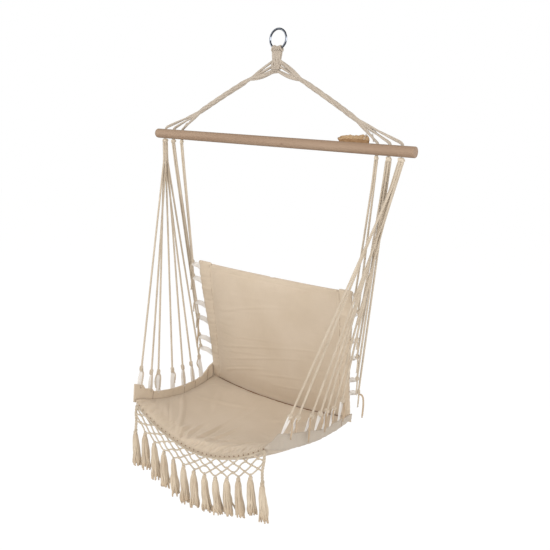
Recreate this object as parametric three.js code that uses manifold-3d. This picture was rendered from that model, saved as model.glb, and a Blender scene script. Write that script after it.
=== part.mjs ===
// Hammock chair: a steel ring, a gathered hitch, two suspension ropes, a round wooden spreader bar,
// and a padded seat and back that hang from the bar on knotted side cords, with a netted fringe
// and thirteen tassels along the front edge.
//
// Frame: millimetres, +Z up, +X along the bar, -Y towards the front of the seat.
// The origin is where a hook bears on the inside of the ring, at its top.

import * as THREE from 'three';
import { mergeVertices } from 'three/addons/utils/BufferGeometryUtils.js';
import Module from 'manifold-3d';

const wasm = await Module();
wasm.setup();

// Driving dimensions of the hanger
const ring_bore = 54;
const ring_wire = 6.5;
const touch_gap = 0.3;
const loop_band = 38;
const loop_cord = 6;
const hitch_length = 63;
const hitch_thickness = 22;
const bar_length = 1000;
const bar_diameter = 32;
const bar_drop = 338.6;
const bar_edge = 2;
const hole_inset = 42;
const hole_pitch = 39.3;
const hole_diameter = 12;
const tail_diameter = 11;
const rope_diameter = 17;
const strand_diameter = 7;
const stop_knot_diameter = 15.4;
const stop_knot_lengths = [22, 18, 12];
const merge_out = 100;
const merge_drop = 149;
const split_out = 343;
const split_drop = 282;

// Driving dimensions of the blank card tag that leans on the bar
const tag_length = 107;
const tag_height = 31;
const tag_thickness = 1;
const tag_hole = 4;
const tag_end_reach = 345;
const tag_set_back = 9;
const tag_tilt_degrees = 20;

// Driving dimensions of the seat and the back
const seat_front_width = 548;
const seat_rear_width = 592;
const seat_front_reach = 271;
const seat_rear_reach = 158;
const seat_front_drop = 1201;
const seat_rear_drop = 1219;
const seat_side_sag = 32;
const hem_sag = 102;
const seam_sag = 24;
const side_draw = 7;
const seat_thickness = 36;
const seat_fullness = 6;
const seat_lip = 60;
const seat_crease_depth = 7;
const seat_crease_width = 20;
const seat_fold_height = 6;
const seat_fold_width = 38;
const pad_edge = 10;
const back_top_reach = 60;
const back_top_drop = 776;
const back_top_width = 624;
const back_thickness = 34;
const back_fullness = 2;
const back_top_dip = 5;
const casing_top_width = 50;
const casing_foot_width = 34;
const casing_thickness = 13;
const casing_seam_gap = 5.4;
const border_height = 36;
const border_front_rise = 14;
const border_rear_rise = 28;
const border_thickness = 4;

// Driving dimensions of the side cords and their tabs
const cord_diameter = 6;
const knot_diameter = 12;
const knot_length = 14;
const tab_length = 50;
const tab_width = 17;
const tab_neck = 8;
const tab_thickness = 2.6;
const tab_root = 3;
const left_gather = 80;
const right_gather = 170;
const back_gather = 60;
const back_tab_reach = 42;
const back_tab_drop = 20;
const back_cord_set = 18;

// Driving dimensions of the fringe
const tassel_count = 13;
const tassel_pitch = 43.6;
const net_strand = 5;
const net_knot = 8;
const net_header = 5;
const corner_cord = 9;
const net_middle_drop = 1355.5;
const net_side_drop = 1298.5;
const corner_head_drop = 1302.5;
const tassel_head = 14;
const tassel_length = 108;
const tassel_width = 28;
const tassel_lean = 20;

// Where the seat's long fold leaves the left border, how fast it bends to the hem, and where it ends
const fold_root_share = 0.62;
const fold_reach_share = 0.62;
const fold_end_shares = [0, 0.6];

// Places along the seat's sides, from front to rear, where the cord tabs are sewn
const left_seat_tab_shares = [0.056, 0.18, 0.27, 0.45, 0.59, 0.71, 0.82];
const right_seat_tab_shares = [0.126, 0.228, 0.4, 0.52, 0.615, 0.71, 0.82];
// Place along the seat's sides where the seat is as wide as the foot of the back
const back_foot_share = 0.94;
// Heights up the back's sides, from the seam to the top edge, where its cord knots hang
const back_knot_shares = [0.985, 0.865, 0.66, 0.525, 0.355, 0.25];
// How far each back knot hangs out from the edge, and to the front or rear of its row
const back_reach_shares = [0.48, 0.69, 0.72, 0.77, 0.92, 1];
const back_stagger_shares = [-0.4, 0.4, -0.4, 0.4, -0.4, 0.4];
// Six seat cords stand round a middle one where they leave their hole; the back cords leave their
// two holes in rows along the bar
const seat_pack_degrees = [270, 210, 330, 0, 150, 30, 90];
const seat_pack_out_shares = [1, 1, 1, 0, 1, 1, 1];
const back_pack_along_shares = [-0.5, 0.5, -0.84, -0.28, 0.28, 0.84];
const back_pack_row_shares = [0, 0, -0.45, 0.45, -0.45, 0.45];

// Worked out from the sizes above
const ring_radius = (ring_bore + ring_wire) / 2;
const ring_centre_z = -ring_bore / 2;
const wire_bottom_z = ring_centre_z - ring_radius;
const hitch_top_z = wire_bottom_z - ring_wire / 2 - touch_gap - loop_cord - touch_gap;
const bar_radius = bar_diameter / 2;
const bar_top_z = bar_radius - bar_drop;
const bar_bottom_z = -bar_radius - bar_drop;
const stop_knot_radius = stop_knot_diameter / 2;
const cord_hinge_z = bar_bottom_z - touch_gap - stop_knot_radius;
const cord_top_z = cord_hinge_z - stop_knot_radius - touch_gap;
const cord_pitch = cord_diameter + touch_gap;
const seat_depth = seat_front_reach + seat_rear_reach;
const back_rise = seat_rear_drop - back_top_drop;
const back_run = seat_rear_reach - back_top_reach;
const back_length = Math.hypot(back_rise, back_run);
const back_up = new THREE.Vector3(0, -back_run / back_length, back_rise / back_length);
const back_front = new THREE.Vector3(0, -back_up.z, back_up.y);
const lip_share = seat_lip / seat_depth;
const seam_start_share = (pad_edge / 2 + 3 * touch_gap) / back_length;
const casing_start_share = seam_start_share + casing_seam_gap / back_length;

// Finishes, each with the colour, roughness and metalness of its surface
const finishes = {
  steel: [0xb9bcc0, 0.22, 1],
  wood: [0xbca08a, 0.6, 0],
  cord: [0xc8b69b, 0.95, 0],
  fabric: [0xc6b298, 0.95, 0],
  border: [0xbaa98f, 0.95, 0],
  tassel: [0xc3ab8b, 0.95, 0],
  card: [0xb28a5c, 0.9, 0],
};

function part(name, geometry, finish) {
  const [color, roughness, metalness] = finishes[finish];
  const mesh = new THREE.Mesh(geometry, new THREE.MeshStandardMaterial({ color, roughness, metalness }));
  mesh.name = name;
  return mesh;
}

// A closed skin whose faces all look outward, whichever way round they were listed
function shellFrom(vertices, faces) {
  const volume = faces.reduce((sum, [a, b, c]) => {
    return sum + vertices[a].dot(vertices[b].clone().cross(vertices[c]));
  }, 0);
  const wound = volume < 0 ? faces.map(([a, b, c]) => [a, c, b]) : faces;
  const geometry = new THREE.BufferGeometry();
  const numbers = vertices.flatMap((v) => v.toArray());
  geometry.setAttribute('position', new THREE.Float32BufferAttribute(numbers, 3));
  geometry.setIndex(wound.flat());
  return geometry;
}

// Skin over rings of equally many points, closed at both ends by a fan to the ring's middle
function loft(rings) {
  const count = rings[0].length;
  const vertices = rings.flat();
  const faces = [];
  for (let i = 0; i + 1 < rings.length; i++) {
    for (let j = 0; j < count; j++) {
      const a = i * count + j;
      const b = i * count + ((j + 1) % count);
      faces.push([a, b, b + count], [a, b + count, a + count]);
    }
  }
  const middle = (ring) => ring.reduce((sum, p) => sum.add(p), new THREE.Vector3()).divideScalar(count);
  const start = vertices.push(middle(rings[0])) - 1;
  const end = vertices.push(middle(rings[rings.length - 1])) - 1;
  const last = (rings.length - 1) * count;
  for (let j = 0; j < count; j++) {
    faces.push([start, (j + 1) % count, j], [end, last + j, last + ((j + 1) % count)]);
  }
  return shellFrom(vertices, faces);
}

// Skin over a grid that closes on itself both ways, as a sleeve round a wire does
function wrapGrid(rows) {
  const count = rows[0].length;
  const faces = [];
  for (let i = 0; i < rows.length; i++) {
    for (let j = 0; j < count; j++) {
      const a = i * count + j;
      const b = i * count + ((j + 1) % count);
      const c = ((i + 1) % rows.length) * count + ((j + 1) % count);
      const d = ((i + 1) % rows.length) * count + j;
      faces.push([a, b, c], [a, c, d]);
    }
  }
  return shellFrom(rows.flat(), faces);
}

// A round tube through the given points, with its own radius at each of them; where a start
// direction is given, the first end is cut square to it
function tube(points, radii, sides, start) {
  const across = new THREE.Vector3(0, 1, 0);
  const rings = points.map((point, i) => {
    const before = points[Math.max(i - 1, 0)];
    const after = points[Math.min(i + 1, points.length - 1)];
    const along = i === 0 && start ? start.clone() : after.clone().sub(before).normalize();
    const u = across.clone().cross(along).normalize();
    const v = along.clone().cross(u);
    return Array.from({ length: sides }, (_, k) => {
      const angle = (2 * Math.PI * k) / sides;
      const radius = radii[i];
      const out = point.clone().addScaledVector(u, radius * Math.cos(angle));
      return out.addScaledVector(v, radius * Math.sin(angle));
    });
  });
  return loft(rings);
}

function solid(geometry) {
  const bare = geometry.clone();
  bare.deleteAttribute('normal');
  bare.deleteAttribute('uv');
  const merged = mergeVertices(bare);
  const vertProperties = new Float32Array(merged.attributes.position.array);
  const triVerts = new Uint32Array(merged.index.array);
  return new wasm.Manifold(new wasm.Mesh({ numProp: 3, vertProperties, triVerts }));
}

function geometryOf(manifold) {
  const mesh = manifold.getMesh();
  const geometry = new THREE.BufferGeometry();
  geometry.setAttribute('position', new THREE.BufferAttribute(mesh.vertProperties, 3));
  geometry.setIndex(new THREE.BufferAttribute(mesh.triVerts, 1));
  return geometry;
}

function join(geometries) {
  return geometryOf(geometries.map(solid).reduce((sum, next) => sum.add(next)));
}

function mix(from, to, share) {
  return from + (to - from) * share;
}

function at(x, y, z) {
  return new THREE.Vector3(x, y, z);
}

// Share of each pad's swell that stands above its middle surface
const seat_lift_share = 0.55;
const back_lift_share = 0.6;

// The seat's middle surface: it sags between its sides and less towards the seam with the back
function seatHalfWidth(share) {
  return mix(seat_front_width, seat_rear_width, share) / 2;
}

function seatEdgeZ(share) {
  return -mix(seat_front_drop, seat_rear_drop, share) - seat_side_sag * 4 * share * (1 - share);
}

function seatSurface(across, share) {
  const sag = mix(hem_sag, seam_sag, share);
  const drawn = side_draw * 4 * share * (1 - share);
  const x = across * (seatHalfWidth(share) - drawn);
  const z = seatEdgeZ(share) - sag * (1 - across * across);
  return at(x, mix(-seat_front_reach, seat_rear_reach, share), z);
}

// The back's middle surface: it lies on the line from the bar to the seam, and its ends dip
function backSurface(across, share, half_width) {
  const dip = mix(seam_sag, back_top_dip, share) * (1 - across * across);
  const point = at(across * half_width, seat_rear_reach, -seat_rear_drop);
  return point.addScaledVector(back_up, back_length * share).add(at(0, 0, -dip));
}

// Share of a pad's swell at a place on it: the higher the fullness, the flatter the middle and the
// steeper the shoulders
function crown(across, share, fullness) {
  const a = 1 - Math.abs(across) ** fullness;
  const b = 1 - Math.abs(2 * share - 1) ** fullness;
  return Math.sqrt(Math.max(a * b, 0));
}

// A crowned pad over a grid of places, with its rim as thick as the edge; the folds raise or
// lower its upper side
function pad(place, face, thickness, fullness, lift_share, folds, columns, row_shares) {
  const rows = row_shares.length - 1;
  const skin = (side) => row_shares.flatMap((share) => Array.from({ length: columns + 1 }, (_, c) => {
    const across = (2 * c) / columns - 1;
    const swell = (thickness - pad_edge) * crown(across, share, fullness);
    const upper = swell * lift_share + folds(across, share);
    const height = pad_edge / 2 + (side > 0 ? upper : swell * (1 - lift_share));
    return place(across, share).addScaledVector(face, side * height);
  }));
  const vertices = [...skin(1), ...skin(-1)];
  const half = (columns + 1) * (rows + 1);
  const node = (c, r) => r * (columns + 1) + c;
  const faces = [];
  for (let r = 0; r < rows; r++) {
    for (let c = 0; c < columns; c++) {
      const [p, q, s, t] = [node(c, r), node(c + 1, r), node(c + 1, r + 1), node(c, r + 1)];
      faces.push([p, q, s], [p, s, t], [half + p, half + s, half + q], [half + p, half + t, half + s]);
    }
  }
  const rim = [];
  for (let c = 0; c < columns; c++) rim.push(node(c, 0));
  for (let r = 0; r < rows; r++) rim.push(node(columns, r));
  for (let c = columns; c > 0; c--) rim.push(node(c, rows));
  for (let r = rows; r > 0; r--) rim.push(node(0, r));
  rim.forEach((p, i) => {
    const q = rim[(i + 1) % rim.length];
    faces.push([p, half + p, half + q], [p, half + q, q]);
  });
  return shellFrom(vertices, faces);
}

// The seat's cover has a crease behind its rolled front lip and one long fold, which bends from the
// left border towards the middle of the hem; both fade out before the sides
function seatFolds(across, share) {
  const inside = 1 - across ** 4;
  const crease = Math.exp(-(((share - lip_share) * seat_depth / seat_crease_width) ** 2));
  const ridge = (fold_reach_share * (across + 1)) ** 2;
  const off = ((fold_root_share - share - ridge) * seat_depth) / seat_fold_width;
  const left = 1 - THREE.MathUtils.smoothstep(across, fold_end_shares[0], fold_end_shares[1]);
  return inside * (seat_fold_height * Math.exp(-off * off) * left - seat_crease_depth * crease);
}

// Steel ring that the hook goes through
function hangingRing() {
  const ring = new THREE.TorusGeometry(ring_radius, ring_wire / 2, 10, 36);
  ring.rotateX(Math.PI / 2);
  ring.translate(0, 0, ring_centre_z);
  return ring;
}

// Cords turned over the ring's wire side by side, one ridge for each cord
function ringLoops() {
  const cords = Math.round(loop_band / loop_cord);
  const half_arc = loop_band / 2 / ring_radius;
  const inner = ring_wire / 2 + touch_gap;
  const outer = inner + loop_cord;
  const groove = loop_cord / 4;
  const profile = [];
  for (let i = 0; i <= 2 * cords; i++) {
    profile.push([mix(-half_arc, half_arc, i / (2 * cords)), i % 2 ? outer : outer - groove]);
  }
  for (let i = cords; i >= 0; i--) {
    profile.push([mix(-half_arc, half_arc, i / cords), inner]);
  }
  const sides = 12;
  const rows = profile.map(([arc, radius]) => Array.from({ length: sides }, (_, k) => {
    const turn = (2 * Math.PI * k) / sides;
    const out = ring_radius + radius * Math.cos(turn);
    return at(out * Math.sin(arc), radius * Math.sin(turn), ring_centre_z - out * Math.cos(arc));
  }));
  return wrapGrid(rows);
}

// The gathered hitch under the ring: flat where the cords come down, full at the knot, thin at its tip
const hitch_drop_shares = [0, 0.22, 0.42, 0.6, 0.76, 0.9, 1];
const hitch_width_shares = [0.5, 0.43, 0.39, 0.45, 0.38, 0.22, 0.1];
const hitch_depth_shares = [0.36, 0.38, 0.4, 0.5, 0.45, 0.3, 0.14];

function hitch(grow) {
  const sides = 12;
  return loft(hitch_drop_shares.map((share, i) => Array.from({ length: sides }, (_, k) => {
    const angle = (-2 * Math.PI * k) / sides;
    const half_width = hitch_width_shares[i] * loop_band + grow;
    const half_depth = hitch_depth_shares[i] * hitch_thickness + grow;
    const z = hitch_top_z - share * hitch_length;
    return at(half_width * Math.cos(angle), half_depth * Math.sin(angle), z);
  })));
}

// A stop knot tied under the bar: a barrel lying along the bar, round about the line it swings on
const stop_knot_shares = [[-0.5, 0], [-0.47, 0.62], [-0.25, 1], [0.25, 1], [0.47, 0.62], [0.5, 0]];

function stopKnot(x, length) {
  const points = stop_knot_shares.map(([along, out]) => {
    return new THREE.Vector2(out * stop_knot_radius, along * length);
  });
  const knot = new THREE.LatheGeometry(points, 10);
  knot.rotateZ(Math.PI / 2);
  knot.translate(x, 0, cord_hinge_z);
  return knot;
}

function holeX(index, side) {
  return side * (bar_length / 2 - hole_inset - index * hole_pitch);
}

// Where a rope's strands leave the hitch, and how far each one bows up or down on its way
const strand_drop_shares = [0.36, 0.62, 0.86];
const strand_in_shares = [0.2, 0.2, 0.1];
const strand_sag_shares = [0.02, 0, -0.04];
const rope_girth_shares = [0.62, 1, 1, 0.95, 0.7];
// Bends of a rope's tails over the bar's shoulder, counted in the tails' own diameter
const tail_out_shares = [1.1, 0.3];
const tail_up_shares = [0.95, 0.5];

// One suspension rope: strands from the hitch run together, part into three tails, pass down through
// the bar's holes and end in the stop knots that carry the bar
function suspensionRope(side) {
  const pieces = [];
  const merge = at(side * merge_out, 0, -merge_drop);
  const split = at(side * split_out, 0, -split_drop);
  strand_drop_shares.forEach((share, i) => {
    const start = at(side * strand_in_shares[i] * loop_band, 0, hitch_top_z - share * hitch_length);
    const belly = start.clone().lerp(merge, 0.5).add(at(0, 0, strand_sag_shares[i] * merge_out));
    pieces.push(tube([start, belly, merge], [1, 1, 1].map((s) => (s * strand_diameter) / 2), 8));
  });
  const run = split.clone().sub(merge).normalize();
  const rope = [
    merge.clone().addScaledVector(run, -rope_diameter),
    merge.clone().addScaledVector(run, rope_diameter / 2),
    merge.clone().lerp(split, 0.5),
    split.clone(),
    split.clone().addScaledVector(run, rope_diameter),
  ];
  pieces.push(tube(rope, rope_girth_shares.map((s) => (s * rope_diameter) / 2), 10));
  stop_knot_lengths.forEach((length, i) => {
    const x = holeX(i, side);
    const lift = bar_top_z + tail_diameter / 4;
    const bends = tail_out_shares.map((out, k) => {
      return at(x - side * out * tail_diameter, 0, lift + tail_up_shares[k] * tail_diameter);
    });
    const tail = [split.clone(), ...bends, at(x, 0, lift), at(x, 0, cord_hinge_z)];
    pieces.push(tube(tail, tail.map(() => tail_diameter / 2), 8));
    pieces.push(stopKnot(x, length));
  });
  return geometryOf(solid(join(pieces)).subtract(solid(hitch(touch_gap))));
}

// Round wooden bar with eased ends and three upright holes near each end
function spreaderBar() {
  const half = bar_length / 2;
  const profile = [
    [0, -half], [bar_radius - bar_edge, -half], [bar_radius, bar_edge - half],
    [bar_radius, half - bar_edge], [bar_radius - bar_edge, half], [0, half],
  ];
  const rod = new THREE.LatheGeometry(profile.map(([r, h]) => new THREE.Vector2(r, h)), 32);
  rod.rotateZ(Math.PI / 2);
  rod.translate(0, 0, -bar_drop);
  let bar = solid(rod);
  for (const side of [-1, 1]) {
    stop_knot_lengths.forEach((_, i) => {
      const drill = new THREE.CylinderGeometry(hole_diameter / 2, hole_diameter / 2, 2 * bar_diameter, 16);
      drill.rotateX(Math.PI / 2);
      drill.translate(holeX(i, side), 0, -bar_drop);
      bar = bar.subtract(solid(drill));
    });
  }
  return geometryOf(bar);
}

// The blank card tag: its foot rests on the bar's rear shoulder and it leans back from there
const tag_along_shares = [0.07, 0.93, 1, 1, 0.86, 0.72, 0.6, 0.22, 0];
const tag_up_shares = [0, 0, 0.08, 0.5, 0.94, 1, 0.94, 0.9, 0.6];
const tag_hole_along_share = 0.82;
const tag_hole_up_share = 0.6;

function hangTag() {
  const outline = new THREE.Shape(tag_along_shares.map((along, i) => {
    return new THREE.Vector2(along * tag_length, tag_up_shares[i] * tag_height);
  }));
  const eyelet = new THREE.Path();
  const hole = new THREE.Vector2(tag_hole_along_share * tag_length, tag_hole_up_share * tag_height);
  eyelet.absarc(hole.x, hole.y, tag_hole / 2, 0, 2 * Math.PI, true);
  outline.holes.push(eyelet);
  const cut = { depth: tag_thickness, bevelEnabled: false, curveSegments: 5 };
  const card = new THREE.ExtrudeGeometry(outline, cut);
  card.rotateX(Math.PI / 2 - THREE.MathUtils.degToRad(tag_tilt_degrees));
  const shoulder = Math.sqrt(bar_radius ** 2 - tag_set_back ** 2) + touch_gap;
  card.translate(tag_end_reach - tag_length, tag_set_back + tag_thickness + touch_gap, shoulder - bar_drop);
  return card;
}

// A side cord from under the bar to its tab, ending in a knot
const knot_back_shares = [0.7, 0.3, 0];
const knot_girth_shares = [1, 1, 0.7];

function sideCord(top, gather, end) {
  const reach = end.clone().sub(gather).normalize();
  const knot = knot_back_shares.map((share) => end.clone().addScaledVector(reach, -share * knot_length));
  const points = [top, gather, end.clone().addScaledVector(reach, -knot_length), ...knot];
  const plain = [top, gather, end].map(() => cord_diameter / 2);
  const radii = [...plain, ...knot_girth_shares.map((share) => (share * knot_diameter) / 2)];
  return tube(points, radii, 8, at(0, 0, -1));
}

// Where each cord leaves its hole
function seatPack(index, side) {
  const angle = THREE.MathUtils.degToRad(seat_pack_degrees[index]);
  const out = seat_pack_out_shares[index] * cord_pitch;
  return at(side * out * Math.cos(angle), out * Math.sin(angle), 0);
}

function backPack(index, side) {
  return at(side * back_pack_along_shares[index] * cord_pitch, back_pack_row_shares[index] * cord_pitch, 0);
}

// Top of the seat's side border, which rises at the front corner and towards the back
const front_rise_share = 0.1;
const rear_rise_shares = [0.72, 0.95];

function borderTop(share) {
  const front = Math.exp(-((share / front_rise_share) ** 2));
  const rear = THREE.MathUtils.smoothstep(share, ...rear_rise_shares);
  return seatEdgeZ(share) + border_height + border_front_rise * front + border_rear_rise * rear;
}

function borderX(side) {
  return (share) => side * (seatHalfWidth(share) + touch_gap + border_thickness / 2);
}

function seatTabFoot(share, side) {
  return at(borderX(side)(share), mix(-seat_front_reach, seat_rear_reach, share), borderTop(share));
}

function seatGather(index, side) {
  const top = at(holeX(0, side), 0, cord_top_z).add(seatPack(index, side));
  const shares = side < 0 ? left_seat_tab_shares : right_seat_tab_shares;
  const aim = seatTabFoot(shares[3], side).sub(at(holeX(0, side), 0, cord_top_z)).normalize();
  return [top, top.clone().addScaledVector(aim, side < 0 ? left_gather : right_gather)];
}

function seatTab(index, side) {
  const shares = side < 0 ? left_seat_tab_shares : right_seat_tab_shares;
  const foot = seatTabFoot(shares[index], side);
  const up = seatGather(index, side)[1].sub(foot).normalize();
  return { foot, up, tip: foot.clone().addScaledVector(up, tab_length) };
}

function seatCord(index, side) {
  const [top, gather] = seatGather(index, side);
  const { up, tip } = seatTab(index, side);
  return sideCord(top, gather, tip.addScaledVector(up, touch_gap));
}

function seatBorder(side) {
  const steps = 16;
  const rings = [];
  for (let i = 0; i <= steps; i++) {
    const share = i / steps;
    const x = borderX(side)(share);
    const y = mix(-seat_front_reach, seat_rear_reach, share);
    const foot = seatEdgeZ(share) - pad_edge / 2;
    const half = border_thickness / 2;
    const top = borderTop(share);
    rings.push([at(x - half, y, top), at(x + half, y, top), at(x + half, y, foot), at(x - half, y, foot)]);
  }
  const pieces = [loft(rings)];
  for (let i = 0; i < left_seat_tab_shares.length; i++) {
    const { foot, up, tip } = seatTab(i, side);
    const root = foot.clone().addScaledVector(up, -tab_root);
    const wide = up.clone().cross(at(1, 0, 0)).normalize();
    const thick = wide.clone().cross(up);
    pieces.push(tape(root, tip, thick, thick, wide, wide));
  }
  return join(pieces);
}

// A sewn tape from a wide root to a narrow neck; thick and wide give its section at either end
function tape(root, tip, root_thick, tip_thick, root_wide, tip_wide) {
  const corners = [[-1, -1], [1, -1], [1, 1], [-1, 1]];
  const section = (centre, thick, wide, width) => corners.map(([a, b]) => {
    const middle = centre.clone().addScaledVector(thick, (a * tab_thickness) / 2);
    return middle.addScaledVector(wide, (b * width) / 2);
  });
  const foot = section(root, root_thick, root_wide, tab_width);
  return loft([foot, section(tip, tip_thick, tip_wide, tab_neck)]);
}

// Half widths of the back: its pillow, and the casing that edges it
const flare_start_share = 0.2;

function backEdge(share) {
  const flare = THREE.MathUtils.smoothstep(share, flare_start_share, 1);
  return mix(seatHalfWidth(back_foot_share), back_top_width / 2, flare);
}

function pillowEdge(share) {
  return backEdge(share) - mix(casing_foot_width, casing_top_width, share) - touch_gap;
}

function backTip(index, side) {
  const share = back_knot_shares[index];
  const edge = backSurface(1, share, backEdge(share));
  const reach = back_reach_shares[index] * back_tab_reach;
  const forward = back_cord_set - back_stagger_shares[index] * cord_diameter;
  return at(side * (edge.x + reach), edge.y - forward, edge.z);
}

function backGather(index, side) {
  const x = holeX(index < 2 ? 2 : 1, side);
  const middle = at(x, 0, cord_top_z);
  const top = middle.clone().add(backPack(index, side));
  const aim = backTip(index < 2 ? 1 : 4, side).sub(middle).normalize();
  return [top, top.clone().addScaledVector(aim, back_gather)];
}

function backTab(index, side) {
  const tip = backTip(index, side);
  const up = backGather(index, side)[1].sub(tip).normalize();
  const foot_share = back_knot_shares[index] - back_tab_drop / back_length;
  const foot = backSurface(1, foot_share, backEdge(foot_share));
  foot.x = side * (foot.x - tab_root);
  return { foot, up, tip };
}

function backCord(index, side) {
  const [top, gather] = backGather(index, side);
  const { up, tip } = backTab(index, side);
  return sideCord(top, gather, tip.addScaledVector(up, touch_gap));
}

const casing_edge_share = 0.7;

function backCasing(side) {
  const steps = 10;
  const rings = [];
  for (let i = 0; i <= steps; i++) {
    const share = mix(casing_start_share, 1, i / steps);
    const outer = backSurface(1, share, backEdge(share));
    const inner = backSurface(1, share, pillowEdge(share) + touch_gap);
    const middle = inner.clone().lerp(outer, 0.5);
    const face = (point, out_share) => {
      const moved = point.clone().addScaledVector(back_front, (out_share * casing_thickness) / 2);
      return at(side * moved.x, moved.y, moved.z);
    };
    const edge = casing_edge_share;
    rings.push([
      face(inner, -edge), face(inner, edge), face(middle, 1),
      face(outer, edge), face(outer, -edge), face(middle, -1),
    ]);
  }
  const pieces = [loft(rings)];
  back_knot_shares.forEach((_, index) => {
    const { foot, up, tip } = backTab(index, side);
    const thick = at(side, 0, 0).cross(up).multiplyScalar(side).normalize();
    const wide = thick.clone().cross(up).multiplyScalar(side);
    pieces.push(tape(foot, tip, back_front, thick, back_up, wide));
  });
  return join(pieces);
}

function seatPad() {
  const lip_row_shares = [0, 0.2, 0.6, 1, 1.4, 2];
  const behind_lip = 11;
  const row_shares = lip_row_shares.map((share) => share * lip_share);
  for (let i = 1; i <= behind_lip; i++) row_shares.push(mix(2 * lip_share, 1, i / behind_lip));
  const up = at(0, 0, 1);
  return pad(seatSurface, up, seat_thickness, seat_fullness, seat_lift_share, seatFolds, 18, row_shares);
}

function backPad() {
  const place = (across, share) => {
    const up = mix(seam_start_share, 1, share);
    return backSurface(across, up, pillowEdge(up));
  };
  const rows = 12;
  const row_shares = Array.from({ length: rows + 1 }, (_, r) => r / rows);
  return pad(place, back_front, back_thickness, back_fullness, back_lift_share, () => 0, 14, row_shares);
}

// The net: cords cross in staggered rows between the hem and the tassels
const net_rows = 4;

function hemZ(x) {
  const across = Math.min(Math.abs(x) / seatHalfWidth(0), 1);
  const slope = (2 * hem_sag * across) / seatHalfWidth(0);
  const clear = (touch_gap + net_header / 2) * Math.hypot(1, slope);
  return -seat_front_drop - hem_sag * (1 - across * across) - pad_edge / 2 - clear;
}

function headZ(x) {
  const reach = ((tassel_count - 3) / 2) * tassel_pitch;
  return -net_middle_drop + (net_middle_drop - net_side_drop) * (x / reach) ** 2;
}

function netPoint(column, row) {
  const x = (column - (tassel_count - 1) / 2) * tassel_pitch;
  return at(x, -seat_front_reach, mix(hemZ(x), headZ(x), row / net_rows));
}

function cornerHead(side) {
  const x = (side * (tassel_count - 1) * tassel_pitch) / 2;
  return at(x, -seat_front_reach, -corner_head_drop);
}

// Skin of a flat net. Each strand runs between two knots and has a ridge to the front and one to
// the rear; strands that are neighbours round a knot share the corner between them, and a knot's
// open side faces straight down, up or sideways
const quarter_turn = Math.PI / 2;
const open_turn = 1.1 * Math.PI;

function netSkin(knots, strands) {
  const vertices = [];
  const faces = [];
  const put = (point) => vertices.push(point) - 1;
  const front = (point, size) => put(point.clone().add(at(0, -size / 2, 0)));
  const rear = (point, size) => put(point.clone().add(at(0, size / 2, 0)));
  const hubs = knots.map(([point, size]) => {
    return { point, size, front: front(point, size), rear: rear(point, size), spokes: [] };
  });
  const turnTo = (from, to) => Math.atan2(to.z - from.z, to.x - from.x);
  strands.forEach(([a, b], strand) => {
    hubs[a].spokes.push({ strand, turn: turnTo(hubs[a].point, hubs[b].point) });
    hubs[b].spokes.push({ strand, turn: turnTo(hubs[b].point, hubs[a].point) });
  });
  for (const { point, size, spokes } of hubs) {
    spokes.sort((p, q) => p.turn - q.turn);
    spokes.forEach((spoke, i) => {
      const next = spokes[(i + 1) % spokes.length];
      const gap = next.turn - spoke.turn + (i + 1 < spokes.length ? 0 : 2 * Math.PI);
      const even = spoke.turn + gap / 2;
      const turn = gap > open_turn ? quarter_turn * Math.round(even / quarter_turn) : even;
      spoke.left = put(at(Math.cos(turn), 0, Math.sin(turn)).multiplyScalar(size / 2).add(point));
      next.right = spoke.left;
    });
  }
  strands.forEach(([a, b, size], strand) => {
    const [p, q] = [a, b].map((hub) => hubs[hub].spokes.find((spoke) => spoke.strand === strand));
    const middle = hubs[a].point.clone().lerp(hubs[b].point, 0.5);
    const left = at(-Math.sin(p.turn), 0, Math.cos(p.turn)).multiplyScalar(size / 2);
    const [upper, lower] = [put(middle.clone().add(left)), put(middle.clone().sub(left))];
    const rings = [
      [hubs[a].front, p.left, hubs[a].rear, p.right],
      [front(middle, size), upper, rear(middle, size), lower],
      [hubs[b].front, q.right, hubs[b].rear, q.left],
    ];
    for (let r = 0; r < 2; r++) {
      for (let k = 0; k < 4; k++) {
        const n = (k + 1) % 4;
        const [from, to] = [rings[r], rings[r + 1]];
        faces.push([from[k], from[n], to[n]], [from[k], to[n], to[k]]);
      }
    }
  });
  return shellFrom(vertices, faces);
}

function fringeNet() {
  const last = tassel_count - 1;
  const knots = [];
  const strands = [];
  const places = new Map();
  const knotAt = (column, row) => {
    const place = `${column},${row}`;
    const size = row ? net_knot : net_header;
    if (!places.has(place)) places.set(place, knots.push([netPoint(column, row), size]) - 1);
    return places.get(place);
  };
  for (let column = 0; column < last; column += 0.5) {
    strands.push([knotAt(column, 0), knotAt(column + 0.5, 0), net_header]);
  }
  for (let row = 0; row < net_rows; row++) {
    for (let column = row % 2 ? 0.5 : 0; column <= last; column++) {
      for (const next of [column - 0.5, column + 0.5]) {
        const inside = next >= 0 && next <= last;
        if (inside) strands.push([knotAt(column, row), knotAt(next, row + 1), net_strand]);
      }
    }
  }
  for (const [column, side] of [[0, -1], [last, 1]]) {
    const head = knots.push([cornerHead(side), corner_cord]) - 1;
    const braid = [knotAt(column, 0), knotAt(column, 2), knotAt(column, net_rows), head];
    for (let i = 0; i < net_rows - 1; i++) strands.push([braid[i], braid[i + 1], corner_cord]);
  }
  return netSkin(knots, strands);
}

// A tassel hangs from the net by its round head and spreads in soft flutes to its foot
const tassel_drop_shares = [0.2, 0.36, 0.62, 0.86, 1];
const tassel_girth_shares = [0.6, 0.72, 0.82, 0.96, 0.9];
const head_drop_shares = [-0.94, -0.5, 0.3, 1.1];
const head_girth_shares = [0.3, 0.84, 0.94, 0.7];
const flute_share = 0.84;

function tasselPivot(index) {
  const corner = index === 0 || index === tassel_count - 1;
  const carrier = corner ? cornerHead(index ? 1 : -1) : netPoint(index, net_rows);
  const clear = (corner ? corner_cord : net_knot) / 2 + touch_gap;
  return carrier.add(at(0, 0, -clear - tassel_head / 2));
}

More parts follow.
